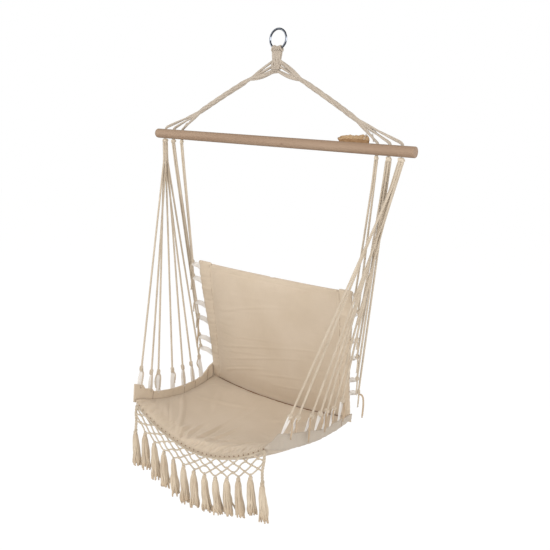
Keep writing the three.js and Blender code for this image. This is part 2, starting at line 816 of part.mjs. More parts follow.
function tassel(index) {
  const pivot = tasselPivot(index);
  const sides = 10;
  const ring = (drop, radius, groove) => Array.from({ length: sides }, (_, k) => {
    const angle = (-2 * Math.PI * k) / sides;
    const out = radius * (k % 2 ? 1 : groove);
    const lean = (tassel_lean * Math.max(drop, 0)) / tassel_length;
    return pivot.clone().add(at(out * Math.cos(angle) + lean, out * Math.sin(angle), -drop));
  });
  const head = tassel_head / 2;
  const rings = head_drop_shares.map((share, i) => ring(share * head, head_girth_shares[i] * head, 1));
  tassel_drop_shares.forEach((share, i) => {
    rings.push(ring(share * tassel_length, (tassel_girth_shares[i] * tassel_width) / 2, flute_share));
  });
  return loft(rings);
}

const chair = new THREE.Group();
chair.add(part('hanging_ring', hangingRing(), 'steel'));
chair.add(part('ring_loops', ringLoops(), 'cord'));
chair.add(part('hitch_knot', hitch(0), 'cord'));
chair.add(part('spreader_bar', spreaderBar(), 'wood'));
chair.add(part('hang_tag', hangTag(), 'card'));
for (const [word, side] of [['left', -1], ['right', 1]]) {
  chair.add(part(`${word}_suspension_rope`, suspensionRope(side), 'cord'));
  left_seat_tab_shares.forEach((_, i) => {
    chair.add(part(`${word}_seat_cord_${i + 1}`, seatCord(i, side), 'cord'));
  });
  back_knot_shares.forEach((_, i) => {
    chair.add(part(`${word}_back_cord_${i + 1}`, backCord(i, side), 'cord'));
  });
  chair.add(part(`${word}_seat_border`, seatBorder(side), 'border'));
  chair.add(part(`${word}_back_casing`, backCasing(side), 'border'));
}
chair.add(part('seat_pad', seatPad(), 'fabric'));
chair.add(part('back_pad', backPad(), 'fabric'));
chair.add(part('fringe_net', fringeNet(), 'cord'));
for (let i = 0; i < tassel_count; i++) {
  chair.add(part(`tassel_${String(i + 1).padStart(2, '0')}`, tassel(i), 'tassel'));
}

export default chair;
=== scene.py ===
"""Dresses the hammock chair: chromed ring, cotton ropes and cords, wooden spreader bar, card tag,
canvas seat and back, knotted tapes, netted fringe and tassels.

Metres, +Z up, +X along the bar, -Y towards the front of the seat; the origin is the inside of the
ring at its top.
"""
import math

import bpy
import numpy as np
from mathutils import Matrix, Vector


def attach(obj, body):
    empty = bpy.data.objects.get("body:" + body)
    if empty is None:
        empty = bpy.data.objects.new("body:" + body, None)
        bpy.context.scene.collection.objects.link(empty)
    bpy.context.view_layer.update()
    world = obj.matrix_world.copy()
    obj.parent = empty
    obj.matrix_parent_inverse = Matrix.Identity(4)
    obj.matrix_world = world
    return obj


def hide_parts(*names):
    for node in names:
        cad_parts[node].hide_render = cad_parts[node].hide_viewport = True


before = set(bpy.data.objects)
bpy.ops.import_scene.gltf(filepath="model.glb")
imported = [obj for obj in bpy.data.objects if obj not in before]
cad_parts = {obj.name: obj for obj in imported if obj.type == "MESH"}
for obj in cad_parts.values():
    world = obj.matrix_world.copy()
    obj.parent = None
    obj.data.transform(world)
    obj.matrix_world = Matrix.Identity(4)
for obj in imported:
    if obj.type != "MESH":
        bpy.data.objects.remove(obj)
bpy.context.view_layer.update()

# Sizes of the hanger
ring_bore = 0.054
ring_wire = 0.0065
loop_band = 0.038
loop_cord = 0.006
loop_drop = 0.0035
hitch_length = 0.063
hitch_thickness = 0.022
touch_gap = 0.0003
bar_length = 1.0
bar_diameter = 0.032
bar_drop = 0.3386
bar_left_edge, bar_right_edge = 0.009, 0.0022
hole_inset = 0.042
hole_pitch = 0.0393
hole_diameter = 0.012
rope_diameter = 0.017
tail_diameter = 0.011
stop_knot_diameter = 0.0154
stop_knot_lengths = [0.022, 0.018, 0.012]
stop_knot_cord = 0.0058
hitch_cord = 0.0074
seizing_cord = 0.0052
rope_cord = 0.0080
rope_lay, rope_cord_lay = 0.175, 0.085
merge_out, merge_drop = 0.100, 0.149
split_out, split_drop = 0.343, 0.282

# Sizes of the card tag
tag_length = 0.107
tag_height = 0.031
tag_thickness = 0.0008
tag_end_reach = 0.345
tag_set_back = 0.009
tag_tilt = math.radians(20)

# Sizes of the seat and the back
seat_front_width, seat_rear_width = 0.548, 0.592
seat_front_reach, seat_rear_reach = 0.271, 0.158
seat_front_drop, seat_rear_drop = 1.201, 1.219
seat_side_sag = 0.032
hem_sag, seam_sag = 0.102, 0.024
side_draw = 0.007
hem_lift = 0.011
seat_thickness = 0.036
pad_edge = 0.010
back_top_reach, back_top_drop = 0.060, 0.776
back_top_width = 0.624
back_thickness = 0.034
back_top_dip = 0.005
casing_foot_width, casing_top_width = 0.034, 0.050
casing_thickness = 0.013
casing_spread = 0.008
border_height = 0.036
border_front_rise, border_rear_rise = 0.014, 0.028
border_thickness = 0.004
corner_flap = 0.2635

# Sizes of the side cords and their tapes
cord_diameter = 0.006
seat_cord_girth, back_cord_girth = 0.0068, 0.0065
cut_end_girth, hanging_end_girth = 0.0052, 0.0062
seat_knots = {-1: (0.0142, 0.0205), 1: (0.0180, 0.0175)}
back_knot = (0.0135, 0.0145)
tab_length = 0.050
tab_root = 0.003
seat_gathers = {-1: 0.080, 1: 0.170}
back_gather = 0.060
back_tab_reach = 0.042
back_tab_drop = 0.020
back_cord_set = 0.018
seat_tab_shares = {
    -1: [0.056, 0.18, 0.27, 0.45, 0.59, 0.71, 0.82],
    1: [0.126, 0.228, 0.4, 0.52, 0.615, 0.71, 0.82],
}
back_foot_share = 0.94
back_knot_shares = [0.985, 0.865, 0.66, 0.525, 0.355, 0.25]
back_reach_shares = [0.48, 0.69, 0.72, 0.77, 0.92, 1]
back_stagger_shares = [-0.4, 0.4, -0.4, 0.4, -0.4, 0.4]
seat_pack_degrees = [270, 210, 330, 0, 150, 30, 90]
seat_pack_out_shares = [1, 1, 1, 0, 1, 1, 1]
back_pack_along_shares = [-0.5, 0.5, -0.84, -0.28, 0.28, 0.84]
back_pack_row_shares = [0, 0, -0.45, 0.45, -0.45, 0.45]

# Sizes of the fringe
tassel_count = 13
tassel_pitch = 0.0436
net_rows = 4
net_strand = 0.005
net_knot = 0.008
net_header = 0.005
corner_cord = 0.009
net_middle_drop, net_side_drop = 1.3555, 1.2985
corner_head_drop = 1.3025
tassel_head = 0.014
tassel_length = 0.108
tassel_width = 0.028
tassel_lean = 0.020

# Worked out from the sizes above
ring_radius = (ring_bore + ring_wire) / 2
ring_centre_z = -ring_bore / 2
hitch_top_z = ring_centre_z - ring_radius - ring_wire / 2 - 2 * touch_gap - loop_cord
bar_radius = bar_diameter / 2
stop_knot_radius = stop_knot_diameter / 2
cord_hinge_z = -bar_radius - bar_drop - touch_gap - stop_knot_radius
cord_top_z = cord_hinge_z - stop_knot_radius - touch_gap
cord_pitch = cord_diameter + touch_gap
seat_depth = seat_front_reach + seat_rear_reach
back_rise = seat_rear_drop - back_top_drop
back_run = seat_rear_reach - back_top_reach
back_length = math.hypot(back_rise, back_run)
back_up = np.array([0, -back_run, back_rise]) / back_length
back_front = np.array([0, -back_up[2], back_up[1]])
seam_start_share = (pad_edge / 2 + 3 * touch_gap) / back_length
sides_of_chair = [("left", -1), ("right", 1)]
X, Y, Z = np.eye(3)


def mix(low, high, share):
    return low + (high - low) * share


def smooth_step(value, low, high):
    share = np.clip((value - low) / (high - low), 0, 1)
    return share * share * (3 - 2 * share)


def plateau(value, low, high, fall, end):
    """Rises smoothly from low to high, stays at one, and falls again from fall to end."""
    return smooth_step(value, low, high) * (1 - smooth_step(value, fall, end))


def bump(value, middle, width):
    """Gaussian hump: exp of minus the squared distance from the middle, counted in widths."""
    return np.exp(-((value - middle) / width) ** 2)


def xyz(x, y, z):
    """Points from their three coordinates; one number may stand for all of a coordinate."""
    return np.stack(np.broadcast_arrays(x, y, z), axis=-1)


def circle(count):
    """Angles spaced evenly once round, without the last, which is the first again."""
    return np.linspace(0, 2 * np.pi, count, endpoint=False)


def unit(vectors):
    vectors = np.asarray(vectors, float)
    return vectors / np.maximum(np.linalg.norm(vectors, axis=-1, keepdims=True), 1e-12)


# Paths

def through(points, step, softness=0.5):
    """A smooth path through the points: each span is a cubic whose end slopes are the chord between
    the neighbours times the softness, resampled at an even step along its length."""
    points = np.asarray(points, float)
    slopes = np.empty_like(points)
    slopes[1:-1] = (points[2:] - points[:-2]) * softness
    slopes[0] = points[1] - points[0]
    slopes[-1] = points[-1] - points[-2]
    reach = np.linalg.norm(np.diff(points, axis=0), axis=1)
    limit = np.minimum(np.r_[reach, reach[-1]], np.r_[reach[0], reach])
    slopes = unit(slopes) * np.minimum(np.linalg.norm(slopes, axis=1), limit)[:, None]
    t = np.linspace(0, 1, 40, endpoint=False)[None, :, None]
    a, b = points[:-1, None], points[1:, None]
    m, n = slopes[:-1, None], slopes[1:, None]
    curve = (2 * t**3 - 3 * t**2 + 1) * a + (t**3 - 2 * t**2 + t) * m
    curve = curve + (3 * t**2 - 2 * t**3) * b + (t**3 - t**2) * n
    return even(np.vstack([curve.reshape(-1, 3), points[-1:]]), step)


def run_of(path):
    """Length along the path at each of its points."""
    return np.r_[0, np.cumsum(np.linalg.norm(np.diff(path, axis=0), axis=1))]


def between(share, marks, rows):
    """The rows at each share, straight from one mark to the next."""
    return np.stack([np.interp(share, marks, column) for column in rows.T], axis=1)


def even(path, step):
    """The same path with its points an even step apart along its length."""
    run = run_of(path)
    return between(np.linspace(0, run[-1], max(int(round(run[-1] / step)), 2) + 1), run, path)


def slope_of(path, closed=False):
    if closed:
        return unit(np.roll(path, -1, axis=0) - np.roll(path, 1, axis=0))
    return unit(np.gradient(path, axis=0))


def frames_on(path, lean, closed=False):
    """Along, across and up vectors on the path: up is the lean with its part along the path taken
    away, and across stands square to both."""
    along = slope_of(path, closed)
    lean = np.broadcast_to(np.asarray(lean, float), path.shape)
    up = unit(lean - along * np.sum(lean * along, axis=1, keepdims=True))
    return along, np.cross(up, along), up


# Skins: each is (points, quads, triangles, flat places of the quads' and triangles' corners)

# Boxiness of near-round canvas: not 2, so that its flat map is counted in metres as cloth's is
round_canvas = 2.2


def grid_skin(points, places, closed):
    """Quads between neighbours on a grid of points whose columns wrap round. Its rows wrap round
    too where it is closed; otherwise its first and last row are filled by a fan from their middle."""
    rows, columns = points.shape[:2]
    i, j = np.meshgrid(np.arange(rows if closed else rows - 1), np.arange(columns), indexing="ij")
    row, column = i[..., None] + [0, 0, 1, 1], j[..., None] + [0, 1, 1, 0]
    quads = (row % rows * columns + column % columns).reshape(-1, 4)
    quad_places = places(row, column).reshape(-1, 4, 2)
    flat = points.reshape(-1, 3)
    if closed:
        return flat, quads, np.zeros((0, 3), int), quad_places, np.zeros((0, 3, 2))
    k = np.arange(columns)
    after, last = (k + 1) % columns, (rows - 1) * columns
    middle = np.full(columns, rows * columns)
    fans = [np.stack([middle, after, k], axis=1), np.stack([middle + 1, last + k, last + after], axis=1)]
    fan_places = places(np.repeat([0.0, rows - 1], 3 * columns), np.tile([0.5, 0, 1], 2 * columns))
    flat = np.vstack([flat, points[0].mean(0), points[-1].mean(0)])
    return flat, quads, np.vstack(fans), quad_places, fan_places.reshape(-1, 3, 2)


def sweep(path, half_width, half_depth=None, lean=Z, sides=12, boxy=2.0, plies=0, lay=0.022,
          groove=0.16, closed=False, turn=0.0):
    """A skin round the path. The section is a superellipse: half width across and half depth along
    the lean, each times cosine or sine raised to 2 over the boxiness. With plies, the section's
    radius dips by the groove between the plies, which turn once round in each lay length."""
    half_depth = half_width if half_depth is None else half_depth
    half_width, half_depth = (np.broadcast_to(half, len(path))[:, None] for half in (half_width, half_depth))
    run = run_of(path)
    angle = circle(sides)[None, :]
    across, up = (np.sign(way) * np.abs(way) ** (2 / boxy) for way in (np.cos(angle), np.sin(angle)))
    if plies:
        turned = angle - 2 * np.pi * run[:, None] / lay + turn
        dip = 1 - groove + groove * np.abs(np.cos(turned * plies / 2))
        across, up = across * dip, up * dip
    _, side_way, up_way = frames_on(path, lean, closed)
    points = path[:, None] + (half_width * across)[..., None] * side_way[:, None]
    points = points + (half_depth * up)[..., None] * up_way[:, None]

    def places(row, column):
        """On cloth metres along and across; on cord turns of the lay and turns round."""
        marks = np.arange(len(run))
        length = np.interp(row, marks, run)
        if boxy == 2.0:
            return np.stack([length / lay - turn / (2 * np.pi), column / sides], axis=-1)
        reach = np.interp(row, marks, half_width[:, 0])
        return np.stack([length, reach * np.cos(2 * np.pi * column / sides)], axis=-1)

    return grid_skin(points, places, closed)


def laid_cord(path, diameter, lean=Z, sides=12, lay=None, turn=0.0, groove=0.13):
    """A three-ply cord whose tips are drawn in."""
    run = run_of(path)
    ease = np.minimum(run, run[-1] - run) / (diameter * 0.5)
    radius = diameter / 2 * np.sqrt(np.clip(mix(0.35, 1, ease), 0.3, 1))
    lay = lay or 3.6 * diameter
    return sweep(path, radius, lean=lean, sides=sides, plies=3, lay=lay, turn=turn, groove=groove)


def strands_round(line, lay, wide, wide_way, high, high_way):
    """Three strands' lines round a line: each swings to one side once in a lay and in depth twice."""
    for k in range(3):
        turn = 2 * np.pi * (run_of(line) / lay + k / 3)
        yield line + (wide * np.sin(turn))[:, None] * wide_way + (high * np.sin(2 * turn))[:, None] * high_way


def closed_pad(upper, lower, places=None):
    """Joins an upper and a lower sheet of points along their rims."""
    rows, columns = upper.shape[:2]
    half = rows * columns
    a = (np.arange(rows - 1)[:, None] * columns + np.arange(columns - 1)).ravel()
    top = np.stack([a, a + 1, a + columns + 1, a + columns], axis=1)
    rim = np.r_[np.arange(columns - 1), np.arange(rows - 1) * columns + columns - 1,
                np.arange(rows * columns - 1, (rows - 1) * columns, -1), np.arange(rows - 1, 0, -1) * columns]
    after = np.roll(rim, -1)
    wall = np.stack([rim, rim + half, after + half, after], axis=1)
    quads = np.vstack([top, top[:, ::-1] + half, wall])
    places = np.zeros((2 * half, 2)) if places is None else places
    points = np.concatenate([upper.reshape(-1, 3), lower.reshape(-1, 3)])
    return points, quads, np.zeros((0, 3), int), places[quads], np.zeros((0, 3, 2))


def knot(centre, axis, diameter, length, cord, turn=0.0):
    """An overhand knot drawn tight: a trefoil curve whose three lobes lie round the axis, with the
    cord's own thickness."""
    t = circle(44)
    reach = (diameter - cord) / 2 / 3
    rise = (length - cord) / 2
    axis = unit(axis)
    side = unit(np.cross(axis, Y if abs(axis[1]) < 0.9 else X))
    other = np.cross(axis, side)
    x, y = np.sin(t) + 2 * np.sin(2 * t), np.cos(t) - 2 * np.cos(2 * t)
    c, s = math.cos(turn), math.sin(turn)
    x, y = c * x - s * y, s * x + c * y
    offset = x[:, None] * side * reach + y[:, None] * other * reach - np.sin(3 * t)[:, None] * axis * rise
    path = np.asarray(centre) + offset
    return sweep(path, cord / 2, lean=offset + axis * 1e-6, sides=8, closed=True)


def frayed_end(tip, way, length, spread, seed, count=7, thickness=0.0011):
    """Loose yarns at a cord's cut end: they leave the tip in its direction and open out."""
    rng = np.random.default_rng(seed)
    way = unit(way)
    side = unit(np.cross(way, X if abs(way[0]) < 0.8 else Y))
    other = np.cross(way, side)
    skins = []
    for k in range(count):
        angle = 2 * np.pi * (k + rng.random() * 0.6) / count
        out = side * math.cos(angle) + other * math.sin(angle)
        reach = length * rng.uniform(0.7, 1.1)
        bend = spread * rng.uniform(0.5, 1.2)
        points = [tip + out * spread * 0.25, tip + out * spread * 0.35 + way * reach * 0.4,
                  tip + out * bend + way * reach]
        path = through(points, reach / 5)
        skins.append(sweep(path, np.linspace(thickness, thickness * 0.45, len(path)), lean=out, sides=5))
    return skins


def join(skins):
    """One skin of several: their corner numbers shift by the points before them."""
    points, quads, triangles, *places = zip(*skins)
    start = np.cumsum([0, *(len(part) for part in points[:-1])])
    quads, triangles = ([part + shift for part, shift in zip(parts, start)] for parts in (quads, triangles))
    return [np.vstack(parts) for parts in (points, quads, triangles, *places)]


def fill(rows, key, values):
    """Hands an array to Blender as one flat row of numbers."""
    rows.foreach_set(key, np.ascontiguousarray(values).ravel())


def make_mesh(name, skin):
    points, quads, triangles, quad_places, triangle_places = skin
    mesh = bpy.data.meshes.new(name)
    mesh.vertices.add(len(points))
    fill(mesh.vertices, "co", points.astype(np.float32))
    corners = np.r_[quads.ravel(), triangles.ravel()].astype(np.int32)
    sizes = np.repeat([4, 3], [len(quads), len(triangles)]).astype(np.int32)
    mesh.loops.add(len(corners))
    fill(mesh.loops, "vertex_index", corners)
    mesh.polygons.add(len(sizes))
    fill(mesh.polygons, "loop_start", np.r_[0, np.cumsum(sizes)[:-1]].astype(np.int32))
    fill(mesh.polygons, "loop_total", sizes)
    flat = np.vstack([quad_places.reshape(-1, 2), triangle_places.reshape(-1, 2)])
    fill(mesh.uv_layers.new(name="run").data, "uv", flat.astype(np.float32))
    mesh.update(calc_edges=True)
    mesh.validate()
    return mesh


def show(name, data):
    """A new object that holds the data, in the scene."""
    made = bpy.data.objects.new(name, data)
    bpy.context.scene.collection.objects.link(made)
    return made


def apply_modifiers(made):
    """Puts what the object's modifiers do into its mesh."""
    bpy.context.view_layer.update()
    mesh = bpy.data.meshes.new_from_object(made.evaluated_get(bpy.context.evaluated_depsgraph_get()))
    made.modifiers.clear()
    made.data = mesh
    return mesh


def dress(made, finish, body, replaced=()):
    """Gives the object its finish and smooth shading, the body that carries it and the
    solids that it stands for."""
    mesh = made.data
    mesh.materials.clear()
    mesh.materials.append(finish)
    fill(mesh.polygons, "use_smooth", np.ones(len(mesh.polygons), bool))
    mesh.update()
    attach(made, body)
    if replaced:
        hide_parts(*replaced)
    return made


def piece(name, skins, finish, body, replaced=()):
    """Puts the skins into one named object."""
    return dress(show(name, make_mesh(name, join(skins))), finish, body, replaced)


# Finishes

def srgb(red, green, blue):
    """Linear colour of the three numbers that a screen would show."""
    shown = np.array([red, green, blue]) / 255
    linear = np.where(shown <= 0.04045, shown / 12.92, ((shown + 0.055) / 1.055) ** 2.4)
    return (*linear, 1.0)


class Nodes:
    """A node tree under construction. Each call gives outputs, which the next one takes as inputs."""

    def __init__(self, tree):
        self.tree = tree

    def feed(self, made, values):
        for key, value in values.items():
            if isinstance(value, bpy.types.NodeSocket):
                self.tree.links.new(value, made.inputs[key])
            else:
                made.inputs[key].default_value = value
        return made.outputs

    def node(self, kind, values=None, **settings):
        made = self.tree.nodes.new(kind)
        for key, value in settings.items():
            setattr(made, key, value)
        return self.feed(made, values or {})

    def maths(self, operation, *values):
        return self.node("ShaderNodeMath", dict(enumerate(values)), operation=operation)[0]

    def spread(self, value, low, high, to_low=0.0, to_high=1.0):
        """The value's run from low to high, stretched to another run and clamped to it."""
        values = {"Value": value, "From Min": low, "From Max": high, "To Min": to_low, "To Max": to_high}
        return self.node("ShaderNodeMapRange", values)["Result"]


class Finish(Nodes):
    """A material under construction, with its shader at hand. Three numbers are a screen's colour."""

    def __init__(self, name, roughness, metallic=0.0):
        self.material = bpy.data.materials.new(name)
        self.material.use_nodes = True
        super().__init__(self.material.node_tree)
        self.shader = self.tree.nodes["Principled BSDF"]
        self.feed(self.shader, {"Roughness": roughness, "Metallic": metallic})

    def place(self, kind, stretch=(1, 1, 1)):
        """Coordinates from the surface's own map or from the object, stretched."""
        on_map = kind == "UV"
        source = self.node("ShaderNodeUVMap", uv_map="run") if on_map else self.node("ShaderNodeTexCoord")
        return self.node("ShaderNodeMapping", {"Vector": source[kind], "Scale": stretch})["Vector"]

    def noise(self, kind, scale, detail, stretch=(1, 1, 1)):
        values = {"Vector": self.place(kind, stretch), "Scale": scale, "Detail": detail, "Roughness": 0.55}
        return self.node("ShaderNodeTexNoise", values)["Fac"]

    def blend(self, share, first, second, kind="MIX"):
        first, second = (srgb(*c) if isinstance(c, tuple) and len(c) == 3 else c for c in (first, second))
        values = {0: share, 6: first, 7: second}
        return self.node("ShaderNodeMix", values, data_type="RGBA", blend_type=kind)[2]

    def tint(self, value, low, high, first, second, most=1.0):
        """From the first colour towards the second while the value runs from low to high."""
        return self.blend(self.spread(value, low, high, 0, most), first, second)

    def colour(self, value, shade=None):
        """Sets the shader's colour, darkened or lightened by the shade."""
        if shade:
            grey = self.node("ShaderNodeCombineColor", {0: shade, 1: shade, 2: shade})[0]
            value = self.blend(1.0, value, grey, "MULTIPLY")
        self.feed(self.shader, {"Base Color": value})

    def relief(self, height, distance):
        bump_map = self.node("ShaderNodeBump", {"Height": height, "Distance": distance, "Strength": 1.0})
        self.feed(self.shader, {"Normal": bump_map["Normal"]})

    def sheen(self, weight):
        self.feed(self.shader, {"Sheen Weight": weight, "Sheen Roughness": 0.6})


def cloth_finish(name, light, dark, thread=0.0011, sheen=0.15):
    """Plain-woven cotton: warp and weft threads, thicker slubs in both, and a slow change of tone."""
    made = Finish(name, 0.92)
    waves = {"Vector": made.place("UV"), "Scale": 2 * math.pi / 20 / thread}
    warp, weft = (made.node("ShaderNodeTexWave", waves, bands_direction=way)["Fac"] for way in "XY")
    weave = made.maths("MULTIPLY", warp, weft)
    weft_slubs = made.noise("UV", 1.0, 2.0, (25, 900, 1))
    warp_slubs = made.noise("UV", 1.0, 2.0, (900, 25, 1))
    slubs = made.maths("ADD", made.spread(weft_slubs, 0.35, 0.75), made.spread(warp_slubs, 0.4, 0.8))
    cast = made.tint(made.noise("Object", 7.0, 4.0), 0.3, 0.7, dark, light)
    threads = made.maths("ADD", weave, made.maths("MULTIPLY", slubs, 0.5))
    made.colour(cast, made.spread(threads, 0, 1.5, 0.93, 1.04))
    made.relief(made.maths("MULTIPLY_ADD", slubs, 0.8, weave), 0.0002)
    made.sheen(sheen)
    return made.material


def cord_finish(name, light, dark, depth=0.08, relief=0.0001, tip=None):
    """Laid cotton: painted shade in the lines between the plies, fine hairy yarn and a slow change of
    tone. The flat map counts turns of the lay along the cord and turns round it."""
    made = Finish(name, 0.95)
    split = made.node("ShaderNodeSeparateXYZ", {"Vector": made.place("UV")})
    turned = made.maths("SUBTRACT", split["Y"], split["X"])
    ply = made.maths("ABSOLUTE", made.maths("COSINE", made.maths("MULTIPLY", turned, 3 * math.pi)))
    yarn = made.noise("Object", 700.0, 2.0)
    cast = made.tint(made.noise("Object", 18.0, 3.0), 0.3, 0.7, dark, light)
    if tip:
        cast = made.tint(split["X"], 5.5, 9.0, cast, tip, 0.8)
    # depth sets how dark the lines between the plies are painted: painted shade in the grooves
    made.colour(cast, made.spread(made.maths("MULTIPLY_ADD", yarn, 0.5, ply), 0.1, 1.2, 1 - depth, 1.03))
    made.relief(made.maths("MULTIPLY_ADD", yarn, 0.6, ply), relief)
    made.sheen(0.15)
    return made.material


def wood_finish():
    """Sawn and sanded pale hardwood: long grain along X, short pores, soft bands and one small knot."""
    made = Finish("bar_wood_grain", 0.55)
    long_grain = made.noise("Object", 1.0, 5.0, (2.2, 46, 46))
    pores = made.noise("Object", 1.0, 3.0, (34, 620, 620))
    bands = made.noise("Object", 1.0, 2.0, (0.9, 16, 16))
    cast = made.tint(long_grain, 0.32, 0.68, (146, 120, 98), (161, 138, 116))
    cast = made.tint(bands, 0.45, 0.75, cast, (154, 121, 99), 0.3)
    cast = made.tint(pores, 0.62, 0.8, cast, (136, 100, 78), 0.5)
    source = made.node("ShaderNodeTexCoord")["Object"]
    spot = made.node("ShaderNodeMapping", {"Vector": source, "Scale": (1, 1.6, 1.6),
                                           "Location": (-0.055, bar_radius * 1.2, bar_drop * 1.62)})
    far = made.node("ShaderNodeVectorMath", {0: spot["Vector"]}, operation="LENGTH")["Value"]
    made.colour(made.blend(made.spread(far, 0.0, 0.009, 0.85, 0), cast, (96, 66, 50)))
    made.relief(made.maths("ADD", long_grain, pores), 0.00035)
    return made.material


def steel_finish():
    """Polished chromed steel with faint haze and rubbed patches."""
    made = Finish("ring_chrome", 0.12, 1.0)
    haze = made.noise("Object", 60.0, 4.0)
    made.colour(made.tint(haze, 0.3, 0.7, (158, 164, 176), (196, 200, 208)))
    made.feed(made.shader, {"Roughness": made.spread(haze, 0.3, 0.7, 0.08, 0.2)})
    return made.material


def card_finish():
    """Crumpled brown card with short fibres, lighter in its upper half."""
    made = Finish("tag_kraft", 0.85)
    fibres = made.noise("UV", 1.0, 3.0, (300, 1100, 1))
    crush = made.noise("UV", 55.0, 4.0)
    height = made.node("ShaderNodeSeparateXYZ", {"Vector": made.place("UV")})["Y"]
    cast = made.tint(crush, 0.3, 0.7, (134, 101, 68), (160, 126, 89))
    # lighter above the middle of the card's height
    cast = made.tint(height, 0.44 * tag_height, 0.50 * tag_height, cast, (192, 164, 128), 0.65)
    made.colour(made.tint(fibres, 0.55, 0.8, cast, (120, 86, 54), 0.35))
    made.relief(made.maths("ADD", crush, fibres), 0.0005)
    return made.material


canvas = cloth_finish("canvas_weave", (202, 185, 164), (195, 177, 154))
# a lighter copy of the canvas: painted light against the shade on the left border's inner face; the casings
# and the seam's binding tape wear it too
border_canvas_painted_light = cloth_finish("border_weave_painted_light", (208, 191, 169), (198, 180, 157))
# a darker, greyer copy of the border canvas: painted shade against the light on the right border's outer face
outer_canvas_painted_shade = cloth_finish("outer_border_weave_painted_shade", (185, 173, 158), (175, 162, 146))
# brown of the real seams; the same finish colours the painted shade in the hem's stitch holes and in the
# crevice between seat and back
seam_and_shade_canvas = cloth_finish("seam_and_shade_weave", (134, 98, 72), (112, 80, 56), sheen=0)
stitch_cotton = cloth_finish("stitch_line", (158, 132, 106), (144, 118, 92), sheen=0)
tape_cotton = cloth_finish("tape_weave", (228, 223, 217), (216, 210, 203), thread=0.0008)
cotton_cord = cord_finish("cord_lay", (194, 180, 161), (180, 165, 145))
tail_cotton = cord_finish("tail_lay", (184, 163, 138), (166, 144, 118))
# a lighter copy of the cord: painted light against the shade under the bar
knot_cotton_painted_light = cord_finish("stop_knot_lay_painted_light", (206, 193, 174), (194, 180, 160), depth=0.06)
rope_cotton = cord_finish("rope_lay", (178, 166, 151), (168, 155, 140), depth=0.03, relief=0.00004)
net_cotton = cord_finish("net_lay", (197, 183, 163), (178, 163, 142))
tassel_cotton = cord_finish("tassel_yarn", (202, 187, 165), (184, 166, 143), depth=0.06,
                            tip=(180, 152, 120))
bar_wood = wood_finish()
ring_steel = steel_finish()
tag_card = card_finish()

# Surfaces that the pieces are set on


def seat_half_width(share):
    return mix(seat_front_width, seat_rear_width, share) / 2


def seat_edge_z(share):
    return -mix(seat_front_drop, seat_rear_drop, share) - seat_side_sag * 4 * share * (1 - share)


def seat_y(share):
    return mix(-seat_front_reach, seat_rear_reach, share)


def front_lift(x, share):
    """How much higher the sling hangs than its plain curve: nothing at the left side and at the
    seam, and the whole lift from near the middle to the right of the hem."""
    return hem_lift * smooth_step(x, -seat_front_width / 2, -0.1) * (1 - share)


def sling_half_width(share):
    """Half width of the sling, whose sides draw in between its corners."""
    return seat_half_width(share) - side_draw * 4 * share * (1 - share)


def seat_surface(across, share):
    """The sling: straight between its sides seen from above, sagging by a parabola across."""
    x = across * sling_half_width(share)
    sag = mix(hem_sag, seam_sag, share) * (1 - across**2)
    return xyz(x, seat_y(share), seat_edge_z(share) - sag + front_lift(x, share))


def back_surface(across, share, half_width):
    """The back: on the line from the bar to the seam, its ends dipping by a parabola across."""
    dip = np.asarray(mix(seam_sag, back_top_dip, share) * (1 - across**2))[..., None]
    point = xyz(across * half_width, seat_rear_reach, -seat_rear_drop)
    return point + np.asarray(share)[..., None] * back_up * back_length - dip * Z


def back_edge(share):
    flare = smooth_step(np.asarray(share, float), 0.2, 1)
    return mix(seat_half_width(back_foot_share), back_top_width / 2, flare)


def pillow_edge(share):
    return back_edge(share) - mix(casing_foot_width, casing_top_width, share) - touch_gap


def border_top(share):
    """Height of the border's top at its tapes' roots."""
    front = bump(share, 0, 0.1)
    rear = smooth_step(share, 0.72, 0.95)
    return seat_edge_z(share) + border_height + border_front_rise * front + border_rear_rise * rear


def sewn_top(share, side):
    """Height of the sewn band above the seat's rim: a ribbon. On the left it starts as a block that
    steps down twice, and rises quickly to the back's corner; on the right it starts with a slant,
    and is taller in its front half."""
    if side < 0:
        start = 0.023 - 0.013 * smooth_step(share, 0.085, 0.12) - 0.010 * smooth_step(share, 0.195, 0.222)
        rear = smooth_step(share, 0.80, 0.97)
    else:
        start = 0.022 * (smooth_step(share, -0.03, 0.10) - 1)
        start = start + 0.011 * plateau(share, 0.02, 0.11, 0.42, 0.62)
        rear = -0.35 * smooth_step(share, 0.80, 0.97) - 0.1 * bump(share, 0.70, 0.06)
    top = seat_edge_z(share) + 0.029 + start + border_rear_rise * rear
    return top + front_lift(side * border_x(share), share)


def border_x(share):
    return seat_half_width(share) + touch_gap + border_thickness / 2


def hole_x(index, side):
    return side * (bar_length / 2 - hole_inset - index * hole_pitch)


def seat_tab_foot(share, side):
    x = side * border_x(share)
    return xyz(x, seat_y(share), border_top(share) + front_lift(x, share))


def cord_exit(hole, side):
    """The middle of the cords' bundle under one of the bar's holes."""
    return xyz(hole_x(hole, side), 0, cord_top_z)


def seat_top(index, side):
    angle = math.radians(seat_pack_degrees[index])
    out = seat_pack_out_shares[index] * cord_pitch
    return xyz(hole_x(0, side) + side * out * math.cos(angle), out * math.sin(angle), cord_top_z)


def seat_gather(index, side):
    aim = unit(seat_tab_foot(seat_tab_shares[side][3], side) - cord_exit(0, side))
    return seat_top(index, side) + aim * seat_gathers[side]


def seat_tab(index, side):
    foot = seat_tab_foot(seat_tab_shares[side][index], side)
    up = unit(seat_gather(index, side) - foot)
    return foot, up, foot + up * tab_length


def back_tip(index, side):
    share = back_knot_shares[index]
    edge = back_surface(1, share, back_edge(share))
    reach = back_reach_shares[index] * back_tab_reach
    forward = back_cord_set - back_stagger_shares[index] * cord_diameter
    return xyz(side * (edge[0] + reach), edge[1] - forward, edge[2])


